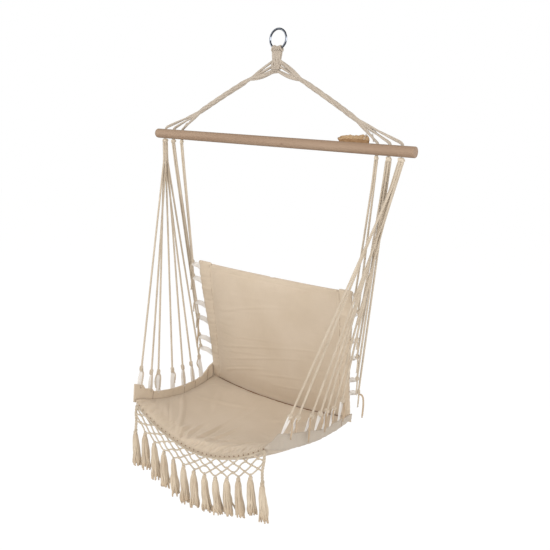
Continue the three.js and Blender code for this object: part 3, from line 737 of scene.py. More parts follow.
def back_hole(index, side):
    return cord_exit(2 if index < 2 else 1, side)


def back_top(index, side):
    along = side * back_pack_along_shares[index] * cord_pitch
    return back_hole(index, side) + xyz(along, back_pack_row_shares[index] * cord_pitch, 0)


def back_gather_point(index, side):
    aim = unit(back_tip(1 if index < 2 else 4, side) - back_hole(index, side))
    return back_top(index, side) + aim * back_gather


def back_tab(index, side):
    tip = back_tip(index, side)
    up = unit(back_gather_point(index, side) - tip)
    share = back_knot_shares[index] - back_tab_drop / back_length
    foot = back_surface(1, share, back_edge(share))
    foot[0] = side * (foot[0] - tab_root)
    return foot, up, tip


def hem_z(x):
    across = np.minimum(np.abs(x) / seat_half_width(0), 1)
    slope = 2 * hem_sag * across / seat_half_width(0)
    clear = (touch_gap + net_header / 2) * np.hypot(1, slope)
    return -seat_front_drop - hem_sag * (1 - across**2) - pad_edge / 2 - clear + front_lift(x, 0)


def head_z(x):
    reach = (tassel_count - 3) / 2 * tassel_pitch
    return -net_middle_drop + (net_middle_drop - net_side_drop) * (x / reach) ** 2


def net_point(column, row):
    x = (column - (tassel_count - 1) / 2) * tassel_pitch
    return xyz(x, -seat_front_reach, mix(hem_z(x), head_z(x), row / net_rows))


def corner_head(side):
    return xyz(side * (tassel_count - 1) * tassel_pitch / 2, -seat_front_reach, -corner_head_drop)


# Camera at the photograph's viewing angle

camera_turn, camera_tilt, camera_roll = math.radians(35.18), math.radians(10.09), math.radians(4.50)
camera_place = (1.37950, -1.87507, -0.34959)
camera_lens, camera_sensor = 47.52, 36


def set_camera():
    turn, tilt, roll = camera_turn, camera_tilt, camera_roll
    right = Vector((math.cos(turn), math.sin(turn), 0))
    back = Vector((math.sin(turn) * math.cos(tilt), -math.cos(turn) * math.cos(tilt), math.sin(tilt)))
    up = back.cross(right)
    rolled_right = right * math.cos(roll) + up * math.sin(roll)
    rolled_up = up * math.cos(roll) - right * math.sin(roll)
    lens = bpy.data.cameras.new("camera")
    lens.lens, lens.sensor_width = camera_lens, camera_sensor
    camera = show("camera", lens)
    turned = Matrix((rolled_right, rolled_up, back)).transposed().to_4x4()
    camera.matrix_world = Matrix.Translation(camera_place) @ turned
    bpy.context.scene.camera = camera


# Hanger

def make_ring():
    """Round wire ring, with the weld's slight swelling at its foot, under the cord loops."""
    turn = circle(96)
    path = xyz(ring_radius * np.sin(turn), 0, ring_centre_z + ring_radius * np.cos(turn))
    weld = 1 + 0.03 * bump(turn, math.pi, 0.12)
    skin = sweep(path, ring_wire / 2 * weld, lean=Y, sides=20, closed=True)
    piece("hanging_ring_polished", [skin], ring_steel, "ring", ["hanging_ring"])


def make_ring_loops():
    """Cord turns side by side over the wire: each is a round loop about the wire's own line."""
    count = round(loop_band / loop_cord)
    turn = circle(28)
    reach = ring_wire / 2 + touch_gap + loop_cord / 2
    low = reach + loop_drop * np.maximum(np.cos(turn), 0) ** 2
    skins = []
    for k in range(count):
        arc = (k + 0.5 - count / 2) * loop_cord / ring_radius
        out = xyz(math.sin(arc), 0, -math.cos(arc))
        middle = Z * ring_centre_z + out * ring_radius
        path = middle + (low * np.cos(turn))[:, None] * out + (reach * np.sin(turn))[:, None] * Y
        lay = run_of(path)[-1] * 28 / 27 / 3
        skins.append(sweep(path, loop_cord / 2 * 1.02, lean=path - middle, plies=3, lay=lay, closed=True,
                           turn=0.7 * k, groove=0.04))
    piece("ring_loops_cords", skins, rope_cotton, "sling", ["ring_loops"])


hitch_drops = np.array([0, 0.22, 0.42, 0.6, 0.76, 0.9, 1])
hitch_widths = np.array([0.5, 0.43, 0.39, 0.45, 0.38, 0.22, 0.1])
hitch_depths = np.array([0.36, 0.38, 0.4, 0.5, 0.45, 0.3, 0.14])


def hitch_size(drop):
    """Half width and half depth of the gathered hitch at a share of its drop."""
    half_width = np.interp(drop, hitch_drops, hitch_widths) * loop_band
    return half_width, np.interp(drop, hitch_drops, hitch_depths) * hitch_thickness


def make_hitch():
    """Cords that come down off the ring side by side, draw together and cross over one another at
    the gather, round a full core, and a short nub where they are seized below it."""
    drop = np.linspace(0, 1, 40)
    half_width, half_depth = hitch_size(drop)
    core = [np.maximum(half - 0.004, 0.001) for half in (half_width, half_depth)]
    skins = [sweep(xyz(0, 0, hitch_top_z - drop * hitch_length), *core, lean=Y, sides=16)]
    strands = 7
    for face in (-1, 1):
        for k in range(strands):
            place = (k + 0.5) / strands * 2 - 1
            slide = 0.55 * np.sin(np.pi * smooth_step(drop, 0.25, 1)) * (1 if k % 2 else -1) * face
            across = np.clip(place + slide * (1 - abs(place)), -1, 1)
            lift = np.sqrt(np.clip(1 - across**2, 0.05, 1)) + 0.14 * np.sin(2 * np.pi * drop * 1.5 + k)
            path = xyz(across * (half_width - 0.0020), face * np.maximum(half_depth - 0.0028, 0.0008) * lift,
                       hitch_top_z + 0.0045 - drop * (hitch_length + 0.003))
            path = even(path, 0.0025)
            skins.append(laid_cord(path, hitch_cord, lean=Y, lay=rope_cord_lay, turn=k, groove=0.03))
    turn = circle(36)
    for k in range(3):
        width, depth = hitch_size(0.78 + 0.085 * k)
        height = hitch_top_z - hitch_length * 0.78 - 0.0054 * k + 0.0018 * np.sin(turn)
        path = xyz((width + 0.0012) * np.cos(turn), (depth + 0.0012) * np.sin(turn), height)
        skins.append(sweep(path, seizing_cord / 2, sides=10, plies=3, lay=0.011, closed=True))
    piece("hitch_knot_cords", skins, rope_cotton, "hanger", ["hitch_knot"])


# Which of a rope's six cords leave the hitch in its upper, middle and lower strand
strand_of_cord = {-1: [0, 1, 2, 2, 2, 2], 1: [0, 0, 0, 1, 2, 2]}
strand_drops = [0.36, 0.62, 0.86]
strand_ins = [0.2, 0.2, 0.1]
strand_sags = [0.02, 0, -0.04]
pair_lay = 0.28


def rope_cord_path(side, index):
    """Centre line of one of a rope's six cords: out of the hitch in its strand, round the rope's
    line in a slow helix, then with its partner in a tail, over the bar and down through the hole."""
    strand = strand_of_cord[side][index]
    mates = [k for k in range(6) if strand_of_cord[side][k] == strand]
    merge, split = xyz(side * merge_out, 0, -merge_drop), xyz(side * split_out, 0, -split_drop)
    start = xyz(side * strand_ins[strand] * loop_band, 0, hitch_top_z - strand_drops[strand] * hitch_length)
    belly = (start + merge) / 2 + Z * strand_sags[strand] * merge_out
    x = hole_x(index % 3, side)
    lift = bar_radius - bar_drop + tail_diameter / 4
    over = [xyz(x - side * out, 0, lift + up) for out, up in ((0.0080, 0.0055), (0.0015, 0.0005))]
    bowed = [mix(merge, split, s) + Z * 0.003 * math.sin(math.pi * s) for s in (0.12, 0.35, 0.6, 0.82)]
    straight = [mix(bowed[-1], over[0], s) for s in (0.35, 0.75)]
    ends = [xyz(x, 0, lift - 0.004), xyz(x, 0, cord_hinge_z)]
    path = through([start, belly, merge, *bowed, *straight, *over, *ends], 0.0035, 0.45)

    out, run = np.abs(path[:, 0]), run_of(path)
    fan = (split_out - 0.065, split_out - 0.020)
    gathered = (merge_out - 0.02, merge_out + 0.03)
    swings = (
        (plateau(out, *gathered, *fan), (rope_diameter - rope_cord) / 2 * (1 if index else 0.15),
         index / 5 + run / rope_lay),
        (1 - smooth_step(out, *gathered), 0 if len(mates) == 1 else 0.0016 + 0.0006 * len(mates),
         mates.index(index) / len(mates) + run / pair_lay),
        (smooth_step(out, *fan), 0.0020, index // 3 / 2 + run / pair_lay),
    )
    _, across, up = frames_on(path, Z)
    for share, reach, turns in swings:
        wide, high = share * reach * np.cos(2 * np.pi * turns), share * reach * np.sin(2 * np.pi * turns)
        path = path + across * wide[:, None] + up * high[:, None]
    return even(path, 0.003)


def barrel_knot(x, length, side):
    """A stop knot's turns: a helix about a line along the bar, its ends drawn in."""
    turns = max(round(length / stop_knot_cord), 2)
    t = np.linspace(0, 1, 26 * turns)
    reach = (stop_knot_radius - stop_knot_cord / 2) * (1 - 0.35 * (2 * t - 1) ** 6)
    angle = 2 * np.pi * turns * t
    lean = xyz(0, np.cos(angle), np.sin(angle))
    path = xyz(x + side * (length - stop_knot_cord) * (t - 0.5), 0, cord_hinge_z) + reach[:, None] * lean
    core = xyz(np.linspace(x - length * 0.4, x + length * 0.4, 6), 0, cord_hinge_z)
    return [sweep(path, stop_knot_cord / 2, lean=lean, sides=9, plies=3, lay=0.02),
            sweep(core, stop_knot_radius * 0.6, sides=10)]


def make_rope(word, side):
    """Six laid cords, thinner in the tails, their stop knots, and a cut end where the tails part."""
    skins = []
    for k in range(6):
        path = rope_cord_path(side, k)
        in_tail = smooth_step(np.abs(path[:, 0]), split_out - 0.04, split_out + 0.06)
        girth = rope_cord * mix(1, 0.68, in_tail)
        skins.append(laid_cord(path, girth, lay=rope_cord_lay, turn=k, groove=0.025))
    knots = [skin for k, length in enumerate(stop_knot_lengths)
             for skin in barrel_knot(hole_x(k, side), length, side)]
    # the stop knots wear the lighter copy of the cord, painted light against the shade under the bar
    piece(f"{word}_stop_knots", knots, knot_cotton_painted_light, "hanger")
    root = mix(xyz(side * split_out, 0, -split_drop), xyz(hole_x(2, side), 0, bar_radius - bar_drop), 0.42)
    down = unit(xyz(side * 0.45, -0.3, -0.7))
    stub = through([root + Z * 0.002, root + down * 0.008, root + down * 0.017], 0.002)
    skins += [laid_cord(stub, 0.0062, lean=Y), *frayed_end(stub[-1], down, 0.006, 0.003, 40 + side)]
    node = f"{word}_suspension_rope"
    piece(f"{node}_laid", skins, rope_cotton, "hanger", [node])


def make_bar():
    """Round bar turned about X with rounded ends, drilled with three upright holes near each end."""
    ease = np.linspace(0, np.pi / 2, 7)
    left, right = [(bar_length / 2 - edge + edge * np.cos(ease), bar_radius - edge + edge * np.sin(ease))
                   for edge in (bar_left_edge, bar_right_edge)]
    middle = np.linspace(-0.46, 0.46, 24)
    along = np.r_[-left[0], middle, right[0][::-1]]
    reach = np.r_[left[1], np.full(len(middle), bar_radius), right[1][::-1]]
    bar = show("spreader_bar_turned", make_mesh("bar", sweep(xyz(along, 0, -bar_drop), reach, sides=64)))
    depth = np.array([-1.0, -0.3, 0.3, 1.0]) * bar_diameter - bar_drop
    drills = [sweep(xyz(hole_x(k, side), 0, depth), hole_diameter / 2, lean=Y, sides=28)
              for _, side in sides_of_chair for k in range(3)]
    drill = show("bar_drills", make_mesh("bar_drills", join(drills)))
    cut = bar.modifiers.new("holes", "BOOLEAN")
    cut.operation, cut.solver, cut.object = "DIFFERENCE", "EXACT", drill
    apply_modifiers(bar)
    bpy.data.objects.remove(drill)
    dress(bar, bar_wood, "hanger", ["spreader_bar"])
    bar.data.set_sharp_from_angle(angle=math.radians(40))


def make_tag():
    """A crumpled card: a grid between a lower and an upper edge line, pushed out of its plane by a
    few crossing folds, on the bar's rear shoulder, leaning back; and the string that ties it."""
    u, v = np.linspace(0, 1, 60)[None, :], np.linspace(0, 1, 18)[:, None]
    top = np.interp(u, [0, 0.10, 0.20, 0.34, 0.45, 0.62, 0.72, 0.86, 0.93, 1],
                    [0.30, 0.52, 0.72, 0.82, 0.78, 0.80, 0.90, 0.88, 0.72, 0.48])
    foot = np.interp(u, [0, 0.08, 0.93, 1], [0.24, 0, 0, 0.08])
    high = mix(foot, top + 0.02 * np.sin(u * 61) + 0.015 * np.sin(u * 37 + 1), v)
    crush = 0.0011 * np.sin(9 * u + 14 * v) + 0.0008 * np.sin(31 * u - 9 * v)
    crush = crush + 0.0009 * np.abs(np.sin(17 * u + 3 * v)) + 0.003 * (u - 0.5) ** 2 * 4 * v
    crush = crush - 0.010 * np.maximum(high - 0.5, 0) + 0.0022 * bump(high, 0.5, 0.06)
    up = xyz(0, math.sin(tag_tilt), math.cos(tag_tilt))
    out = xyz(0, -math.cos(tag_tilt), math.sin(tag_tilt))
    shoulder = math.sqrt(bar_radius**2 - tag_set_back**2) + 0.0012
    root = xyz(tag_end_reach - tag_length, tag_set_back + 0.0013, shoulder - bar_drop)
    points = root + u[..., None] * X * tag_length + high[..., None] * up * tag_height
    points = points + (crush * (0.15 + v))[..., None] * out
    half = out * tag_thickness / 2
    places = [np.stack(np.broadcast_arrays(u * tag_length, rise * tag_height), axis=-1).reshape(-1, 2)
              for rise in (v, 35 / 17 - v)]
    card = closed_pad(points + half, points - half, np.vstack(places))
    piece("hang_tag_crumpled", [card], tag_card, "hanger", ["hang_tag"])
    eye = root + X * tag_length * 0.82 + up * tag_height * 0.6
    tail = xyz(hole_x(2, 1) - 0.012, -0.006, bar_radius - bar_drop + 0.026)
    string = through([eye - out * 0.003, eye + out * 0.003 + X * 0.004,
                      mix(eye, tail, 0.5) + Z * 0.012 - Y * 0.004, tail,
                      tail + xyz(0.004, 0.013, 0.003), mix(eye, tail, 0.55) + Z * 0.020 + Y * 0.004,
                      eye + out * 0.001 + Z * 0.004], 0.002)
    turn = circle(20)[:, None]
    eyelet = eye - up * 0.004 + out * 0.0014 + 0.0026 * (np.cos(turn) * X + np.sin(turn) * up)
    skins = [sweep(string, 0.0007, sides=6), sweep(eyelet, 0.0010, lean=out, sides=8, closed=True)]
    piece("hang_tag_string", skins, tape_cotton, "hanger")


# Side cords, knots and tapes

def soft_line(top, gather, end):
    """A cord's line: straight runs that bend softly where the bundle opens."""
    before = mix(gather, top, min(0.3, 0.012 / np.linalg.norm(gather - top)))
    after = mix(gather, end, 0.014 / np.linalg.norm(end - gather))
    t = np.linspace(0, 1, 9)[:, None]
    bend = (1 - t) ** 2 * before + 2 * t * (1 - t) * gather + t**2 * after
    return even(np.vstack([np.linspace(top, before, 6)[:-1], bend, np.linspace(after, end, 12)[1:]]), 0.0028)


def knotted_cord(top, gather, tip, size, girth, seed, tails):
    """A cord from the bar to its knot, the knot, and the cut tails that leave the knot. Each tail
    is the list of its places after the knot."""
    wide, long = size
    way = unit(tip - gather)
    heart = tip - way * long * 0.35
    line = soft_line(top + Z * 0.004, gather, tip - way * long * 0.5)
    skins = [laid_cord(line, girth, lean=Y, turn=seed), knot(heart, way, wide, long, wide * 0.43, turn=seed)]
    for k, places in enumerate(tails):
        tail = through([heart, *places], 0.0025)
        skins.append(laid_cord(tail, cut_end_girth, lean=X, turn=seed + k))
        skins += frayed_end(tail[-1], tail[-1] - tail[-2], 0.008, 0.003, 100 + 7 * seed + k)
    return skins


def falling(start, away, out, length):
    """Three places of a tail that goes a little outwards and then hangs."""
    return [start, start + away * out - Z * length * 0.5, start + away * 0.003 - Z * length]


# Where each left tape's tails lie: their set-off to the picture's right and their reach down it
left_tail_sets = [[(0.009, 0.95)], [(0.004, 1.0)], [(-0.009, 0.96), (0.009, 0.9)], [(0.011, 0.62)],
                  [(0.003, 1.0)], [(0.002, 1.05)], [(-0.010, 0.7)]]

# How long the right knots' tails hang
right_tail_lengths = [0.056, 0.028, 0.064, 0.030, 0.050, 0.028, 0.058]

# The way most of the left tapes have turned to face
tape_facing = xyz(0.576, -0.817, 0)
left_tape_turns = [1.0, 0.8, 1.0, 0.7, 0.8, 0.5, 0.6]


def make_seat_cords(word, side):
    """Seven cords a side. On the left each tail lies along its tape down to the border; on the
    right the knots are fuller and the tails hang outside the border. The left fan opens above its
    gather, and so do the two front cords on the right."""
    hanging = []
    for k in range(7):
        foot, up, tip = seat_tab(k, side)
        drop = foot - tip
        tails = []
        if side < 0:
            turn = unit(np.cross(up, tape_facing))
            tails = [[tip + drop * 0.12 + turn * out * 0.8,
                      tip + drop * reach * 0.55 + turn * out - Y * 0.002,
                      tip + drop * reach + turn * out * 0.7] for out, reach in left_tail_sets[k]]
        else:
            away = xyz(0.5, -0.85 if k % 3 else 0.7, 0)
            start = tip + away * 0.009 - Z * 0.001
            path = through([tip, *falling(start, away, 0.005, right_tail_lengths[k])], 0.0025)
            hanging.append(laid_cord(path, hanging_end_girth, lean=X, turn=k))
            hanging += frayed_end(path[-1], -Z, 0.008, 0.003, 100 + k)
        top = seat_top(k, side)
        gather = mix(top, seat_gather(k, side), 0.6 if side < 0 else 0.45 if k < 2 else 1)
        skins = knotted_cord(top, gather, tip, seat_knots[side], seat_cord_girth, 10 * k + side + 1, tails)
        node = f"{word}_seat_cord_{k + 1}"
        piece(f"{node}_laid", skins, cotton_cord, "seat", [node])
    if hanging:
        piece(f"{word}_seat_cord_tails", hanging, tail_cotton, "seat")


def make_back_cords(word, side):
    """Six cords a side, each with a cut tail that hangs from its knot."""
    rng = np.random.default_rng(15 + side)
    for k in range(6):
        tip = back_tab(k, side)[2]
        away = xyz(side * 0.5, -0.6 + 0.5 * rng.random(), 0)
        tails = [falling(tip + away * 0.008, away, 0.004, rng.uniform(0.020, 0.045))]
        skins = knotted_cord(back_top(k, side), back_gather_point(k, side), tip, back_knot, back_cord_girth,
                             100 + 10 * k + side, tails)
        node = f"{word}_back_cord_{k + 1}"
        piece(f"{node}_laid", skins, cotton_cord, "seat", [node])


# Each long cut end: its side, the back cord it belongs to and its places after the knot
long_tails = {
    "right": (1, 5, [(0.010, -0.003, 0.003), (0.018, -0.004, -0.006), (0.021, -0.004, -0.026),
                     (0.021, -0.003, -0.050), (0.020, -0.002, -0.068)]),
    "left": (-1, 3, [(0.003, -0.006, -0.008), (0.005, -0.008, -0.030), (0.007, -0.008, -0.060),
                     (0.006, -0.008, -0.100)]),
}


def make_long_tail(word):
    """A back cord's long cut end. The right one arches out of its knot before it hangs."""
    side, index, offsets = long_tails[word]
    start = back_tip(index, side) + xyz(0.004, -0.002, -0.004)
    path = through([start, *(start + offset for offset in offsets)], 0.003)
    skins = [laid_cord(path, cord_diameter, lean=Y)]
    skins += frayed_end(path[-1], path[-1] - path[-2], 0.004, 0.003, 77)
    made = piece(f"{word}_long_tail", skins, tail_cotton, "seat")


def flat_tape(points, widths, thickness, leans):
    """A woven tape along the points: a boxy flat section whose width and facing follow the lists."""
    path = through(points, 0.002)
    share = np.linspace(0, 1, len(path))
    half = np.interp(share, np.linspace(0, 1, len(widths)), widths) / 2
    leans = np.atleast_2d(leans)
    lean = between(share, np.linspace(0, 1, len(leans)), leans)
    return sweep(path, half, thickness / 2, lean=lean, sides=16, boxy=5)


def make_seat_tapes(word, side):
    """White tapes from the border to the knots: broad and flat on the left, turned a little about
    their own line, and narrow loops on the right whose two legs part at the knot."""
    skins = []
    for k in range(7):
        foot, up, tip = seat_tab(k, side)
        sewn = xyz(foot[0], foot[1], sewn_top(seat_tab_shares[side][k], side))
        root = sewn - Z * 0.007
        if side < 0:
            facing = mix(X, tape_facing, left_tape_turns[k])
            bow = facing * 0.002 * (1 if k % 2 else -1)
            points = [root, sewn, mix(sewn, tip, 0.5) + bow, tip - up * 0.004, tip + up * 0.003]
            skins.append(flat_tape(points, [0.017, 0.0175, 0.0165, 0.013, 0.007], 0.0016,
                                   [X, mix(X, facing, 0.7), facing, facing]))
            across = unit(np.cross(facing, up))
            fold = mix(sewn, tip, 0.5) + across * 0.0045 + bow + facing * 0.0013
            points = [sewn + across * 0.004 - Z * 0.003, fold, tip]
            skins.append(flat_tape(points, [0.008, 0.007, 0.005], 0.0013, [mix(X, facing, 0.5), facing]))
        else:
            wide = unit(np.cross(up, X))
            facing = np.cross(wide, up) - Y * 0.8
            for leg in (-wide, wide):
                points = [root + leg * 0.0012, sewn + leg * 0.0016, mix(sewn, tip, 0.6) + leg * 0.0050,
                          tip + leg * 0.0070 - up * 0.001, tip + leg * 0.004 + up * 0.006]
                skins.append(flat_tape(points, [0.0052, 0.0058, 0.0058, 0.0056, 0.0042], 0.0022,
                                       [X, mix(X, facing, 0.3), facing, facing]))
    piece(f"{word}_seat_tapes", skins, tape_cotton, "seat")


def make_back_tapes(word, side):
    """White tapes from the casing outwards to the back cords' knots, doubled and slightly creased."""
    skins = []
    rise = Z * (0.003 if side < 0 else 0.006)
    widths = [0.019, 0.019, 0.0185, 0.0175, 0.013] if side < 0 else [0.0125, 0.0125, 0.0115, 0.009, 0.006]
    face = unit(xyz(0, -1, 0.25))
    inward = -side * X
    for k in range(6):
        foot, up, tip = back_tab(k, side)
        points = [foot + inward * 0.014 - rise * 0.3, foot + rise * 0.3, mix(foot, tip, 0.5) + rise,
                  tip - up * 0.003, tip + up * 0.003]
        skins.append(flat_tape(points, widths, 0.0018, face))
        rear = [foot + inward * 0.012 + Y * 0.003 - rise * 0.6, mix(foot, tip, 0.45) + Y * 0.005 - rise * 0.2,
                tip + Y * 0.002]
        skins.append(flat_tape(rear, [0.011, 0.011, 0.008], 0.0016, face + X * side * 0.3))
    piece(f"{word}_back_tapes", skins, tape_cotton, "seat")


# Where each border's pieces of canvas are sewn end to end
seam_shares = {-1: [0.208, 0.60, 0.735, 0.90], 1: [0.86]}


def make_seat_border(word, side):
    """The canvas band round the seat's side: a thin boxy upright section from the seat's rim to its
    sewn top, on the right wrapped a little round the front corner, a rolled hem along the top, and
    brown seams where its lengths of canvas meet."""
    share = np.linspace(0, 1, 170)
    top = sewn_top(share, side)
    foot = seat_edge_z(share) + front_lift(side * border_x(share), share) - pad_edge / 2
    foot = foot + (0.004 * smooth_step(share, 0.2, 0.9) if side > 0 else 0)
    foot = foot - 0.006 * (1 - smooth_step(share, 0.05, 0.4))
    waves = 0.0010 * np.sin(share * 41) * np.sin(share * 17 + 1) + 0.0006 * np.sin(share * 97)
    x = side * (border_x(share) + waves)
    wrap = np.linspace(0, 1, 10)[:9 if side > 0 else 0]
    flap = xyz(mix(corner_flap, x[0] - 0.0005, wrap), seat_y(0) - 0.0032 * (1 - wrap**5), 0)
    level = np.vstack([flap, xyz(x, seat_y(share), 0)])
    height = np.r_[mix(0.004, top[0] - foot[0], wrap), top - foot]
    centre = np.r_[0 * wrap + foot[0], foot] + height / 2
    sides = 32
    lean = np.cross(slope_of(level), Z)
    band = sweep(level, height / 2, border_thickness / 2, lean=lean, sides=sides, boxy=6)
    band[0][:, 2] += np.r_[np.repeat(centre, sides), centre[0], centre[-1]]
    hem = xyz(x, seat_y(share), top - 0.0022)[4:]
    run = share[4:]
    girth = (0.0029 + 0.0003 * np.sin(run * 90)) * np.sqrt(np.clip((run - run[0]) * 40, 0.05, 1))
    skins = [band, sweep(hem, girth, lean=X, sides=10, boxy=round_canvas)]
    # the left border wears the lighter copy, painted light against its shade; the right border wears the
    # darker copy, painted shade against its light
    finish = border_canvas_painted_light if side < 0 else outer_canvas_painted_shade
    piece(f"{word}_seat_border_band", skins, finish, "seat", [f"{word}_seat_border"])
    seams = []
    for k in (int(np.argmin(np.abs(share - mark))) for mark in seam_shares[side]):
        for face in (-1, 1):
            rise = np.array([0, 0.35, 0.7, 1])
            line = xyz(x[k] + face * (border_thickness / 2 + 0.0002), seat_y(share[k]) + 0.002 * rise,
                       mix(foot[k] + 0.004, top[k] - 0.003, rise))
            seams.append(sweep(through(line, 0.003), 0.0006, lean=X, sides=6, boxy=round_canvas))
    piece(f"{word}_seat_border_seams", seams, seam_and_shade_canvas, "seat")


def make_back_casing(word, side):
    """The casing at the back's side: a flat padded tube from the seam to the top, with a seam line
    near its inner edge and a folded top."""
    share = np.linspace(seam_start_share - 0.010, 1.006, 110)
    spread = casing_spread * smooth_step(share, 0.15, 1) * (side < 0)
    mirror = [side, 1, 1]
    outer = back_surface(1, share, back_edge(share) + spread)
    inner = back_surface(1, share, pillow_edge(share) + touch_gap)
    ends = np.minimum(1, np.minimum(share - share[0], share[-1] - share) / 0.010)
    round_end = np.sqrt(np.clip(1 - (1 - ends) ** 2, 0, 1))
    half = np.linalg.norm(outer - inner, axis=1) / 2 - 0.002 * (1 - round_end)
    thick = casing_thickness / 2 * mix(0.45, 1, round_end)
    wrinkles = 0.0009 * np.sin(share * 71) * np.sin(share * 23 + side) + 0.0005 * np.sin(share * 160 + 2)
    middle = (outer + inner) / 2 * mirror + wrinkles[:, None] * back_front
    crease = back_surface(1, share, pillow_edge(share) + 0.0005) * mirror
    crease = (crease + back_front * (casing_thickness / 2 - 0.0012))[3:-2]
    skins = [sweep(middle, half, thick, lean=back_front, sides=36, boxy=3.2),
             sweep(crease, 0.0050, 0.0008, lean=back_front, boxy=3)]
    # the casing wears the lighter copy of the canvas, which is painted light
    piece(f"{word}_back_casing_sewn", skins, border_canvas_painted_light, "seat", [f"{word}_back_casing"])
    line = middle - side * X * (half - 0.0045)[:, None] + back_front * (casing_thickness / 2 * 0.86)
    seam = sweep(even(line[2:-2], 0.004), 0.0004, lean=back_front, sides=6, boxy=round_canvas)
    piece(f"{word}_back_casing_seam", [seam], stitch_cotton, "seat")


# Seat and back

pad_voxel = 0.005
blow_steps = 20
held_width = 0.006
canvas_as_cloth = {"quality": 4, "mass": 0.25, "tension_stiffness": 12, "compression_stiffness": 12,
                   "shear_stiffness": 6, "bending_stiffness": 0.4, "use_pressure": True,
                   "uniform_pressure_force": 4.0, "shrink_min": -0.004, "vertex_group_mass": "held"}


def crown(across, share, fullness):
    return np.sqrt(np.clip((1 - np.abs(across) ** fullness) * (1 - np.abs(2 * share - 1) ** fullness), 0, 1))


def fold_lines(x, y, lines):
    """Sum of soft ridges, each with a shallow valley on its far side. A ridge leaves its start at
    an angle and bends like a parabola; its height is a Gaussian of the distance from that line,
    eased in and out along its length."""
    height = 0 * x
    for x0, y0, degrees, bend, length, width, rise in lines:
        c, s = math.cos(math.radians(degrees)), math.sin(math.radians(degrees))
        along = (x - x0) * c + (y - y0) * s
        off = (y - y0) * c - (x - x0) * s - bend * along**2 / length
        ease = plateau(along, -0.05 * length, 0.3 * length, 0.4 * length, length)
        height = height + rise * ease * (bump(off, 0, width) - 0.6 * bump(off, -1.9 * width, width))
    return height


# The height that the seat's folds level off at
fold_limit = 0.0065

# Creases that fan out along the seat's hem: their place on it, angle, length and rise
fan_creases = [(-0.098, 22, 0.20, 0.0030), (-0.090, 104, 0.12, 0.0048), (-0.062, 106, 0.17, 0.0052),
               (-0.032, 99, 0.24, 0.0066), (-0.006, 91, 0.24, 0.0052), (0.024, 84, 0.17, 0.0046),
               (0.052, 66, 0.20, 0.0050), (0.088, 56, 0.22, 0.0046)]

# Single wrinkles: start across and along the canvas, angle, bend, length, width and rise
seat_wrinkles = [
    (-0.02, 0.38, -97, 0.10, 0.16, 0.011, 0.0020), (0.13, 0.40, -80, -0.08, 0.15, 0.012, 0.0016),
    (-0.20, 0.36, -62, 0.05, 0.20, 0.010, 0.0018), (0.05, 0.30, 20, 0.06, 0.2, 0.009, 0.0016),
    (-0.24, 0.25, 30, -0.12, 0.26, 0.008, 0.0014), (0.24, 0.14, 150, 0.10, 0.2, 0.008, 0.0018),
]
back_wrinkles = [
    (-0.255, 0.271, 24, -0.20, 0.42, 0.0050, 0.0016), (-0.235, 0.292, 10, -0.05, 0.25, 0.0045, 0.0008),
    (-0.262, 0.140, 15, -0.06, 0.40, 0.0045, 0.0015), (-0.240, 0.128, 12, -0.05, 0.30, 0.0035, 0.0009),
    (-0.255, 0.088, 18, -0.08, 0.48, 0.0042, 0.0015), (-0.256, 0.040, 23, -0.14, 0.30, 0.0050, 0.0016),
    (-0.230, 0.066, 20, -0.09, 0.26, 0.0035, 0.0009), (-0.090, 0.075, 12, -0.05, 0.30, 0.0045, 0.0014),
    (-0.020, 0.052, 8, -0.03, 0.24, 0.0040, 0.0012), (0.060, 0.215, 5, 0.02, 0.18, 0.0045, 0.0009),
    (-0.180, 0.200, 9, -0.04, 0.30, 0.0040, 0.0008), (0.240, 0.030, 130, 0.10, 0.12, 0.006, 0.0016),
    (-0.245, 0.018, 48, -0.10, 0.12, 0.006, 0.0014), (-0.20, 0.36, 4, -0.03, 0.34, 0.008, 0.0008),
]


def seat_folds(x, y):
    """The long fold from the left border to the hem, the lip with the valley behind it, creases
    that fan out from the fold's foot, and puckers along the hem."""
    across, share = x / seat_half_width(0.4), y / seat_depth
    run = across + 0.90
    off = (share - (0.485 - 0.55 * run - 0.45 * run * np.abs(run))) * seat_depth * 0.75
    ease = plateau(across, -1, -0.85, -0.40, -0.28)
    height = 0.0064 * bump(off, 0, 0.008) * ease + 0.0022 * (1 - smooth_step(off, -0.012, 0.03)) * ease
    valley = np.interp(across, [-0.4, -0.3, -0.1, 0.1, 0.4, 0.7, 0.95],
                       [0, 0.06, 0.17, 0.235, 0.25, 0.21, 0.12])
    off = (share - valley) * seat_depth
    ease = smooth_step(across, -0.35, 0.0) * (1 - 0.5 * smooth_step(across, 0.6, 1))
    height = height + ease * (0.0045 * bump(off, -0.035, 0.028) - 0.0042 * bump(off, 0.004, 0.011))
    rng = np.random.default_rng(8)
    lines = [(place, 0.003, angle, -0.05, length, 0.0058, rise) for place, angle, length, rise in fan_creases]
    lines += [(place + rng.normal(0, 0.003), 0.002, rng.uniform(78, 112), rng.normal(0, 0.05),
               rng.uniform(0.04, 0.090), rng.uniform(0.0030, 0.0046), rng.uniform(0.0018, 0.0032))
              for place in np.arange(-0.25, 0.26, 0.0135)]
    height = height + fold_lines(x, y, lines + seat_wrinkles)
    height = fold_limit * np.tanh(height / fold_limit)
    uneven = np.sin(31 * x + 2) * np.sin(27 * y + 1) + 0.6 * np.sin(61 * x + 40 * y) * np.sin(17 * x - 53 * y)
    rim = np.minimum(1, np.minimum((1 - np.abs(across)) * 14, (1 - share) * 22))
    return (height + 0.0008 * uneven) * np.clip(rim, 0, 1)


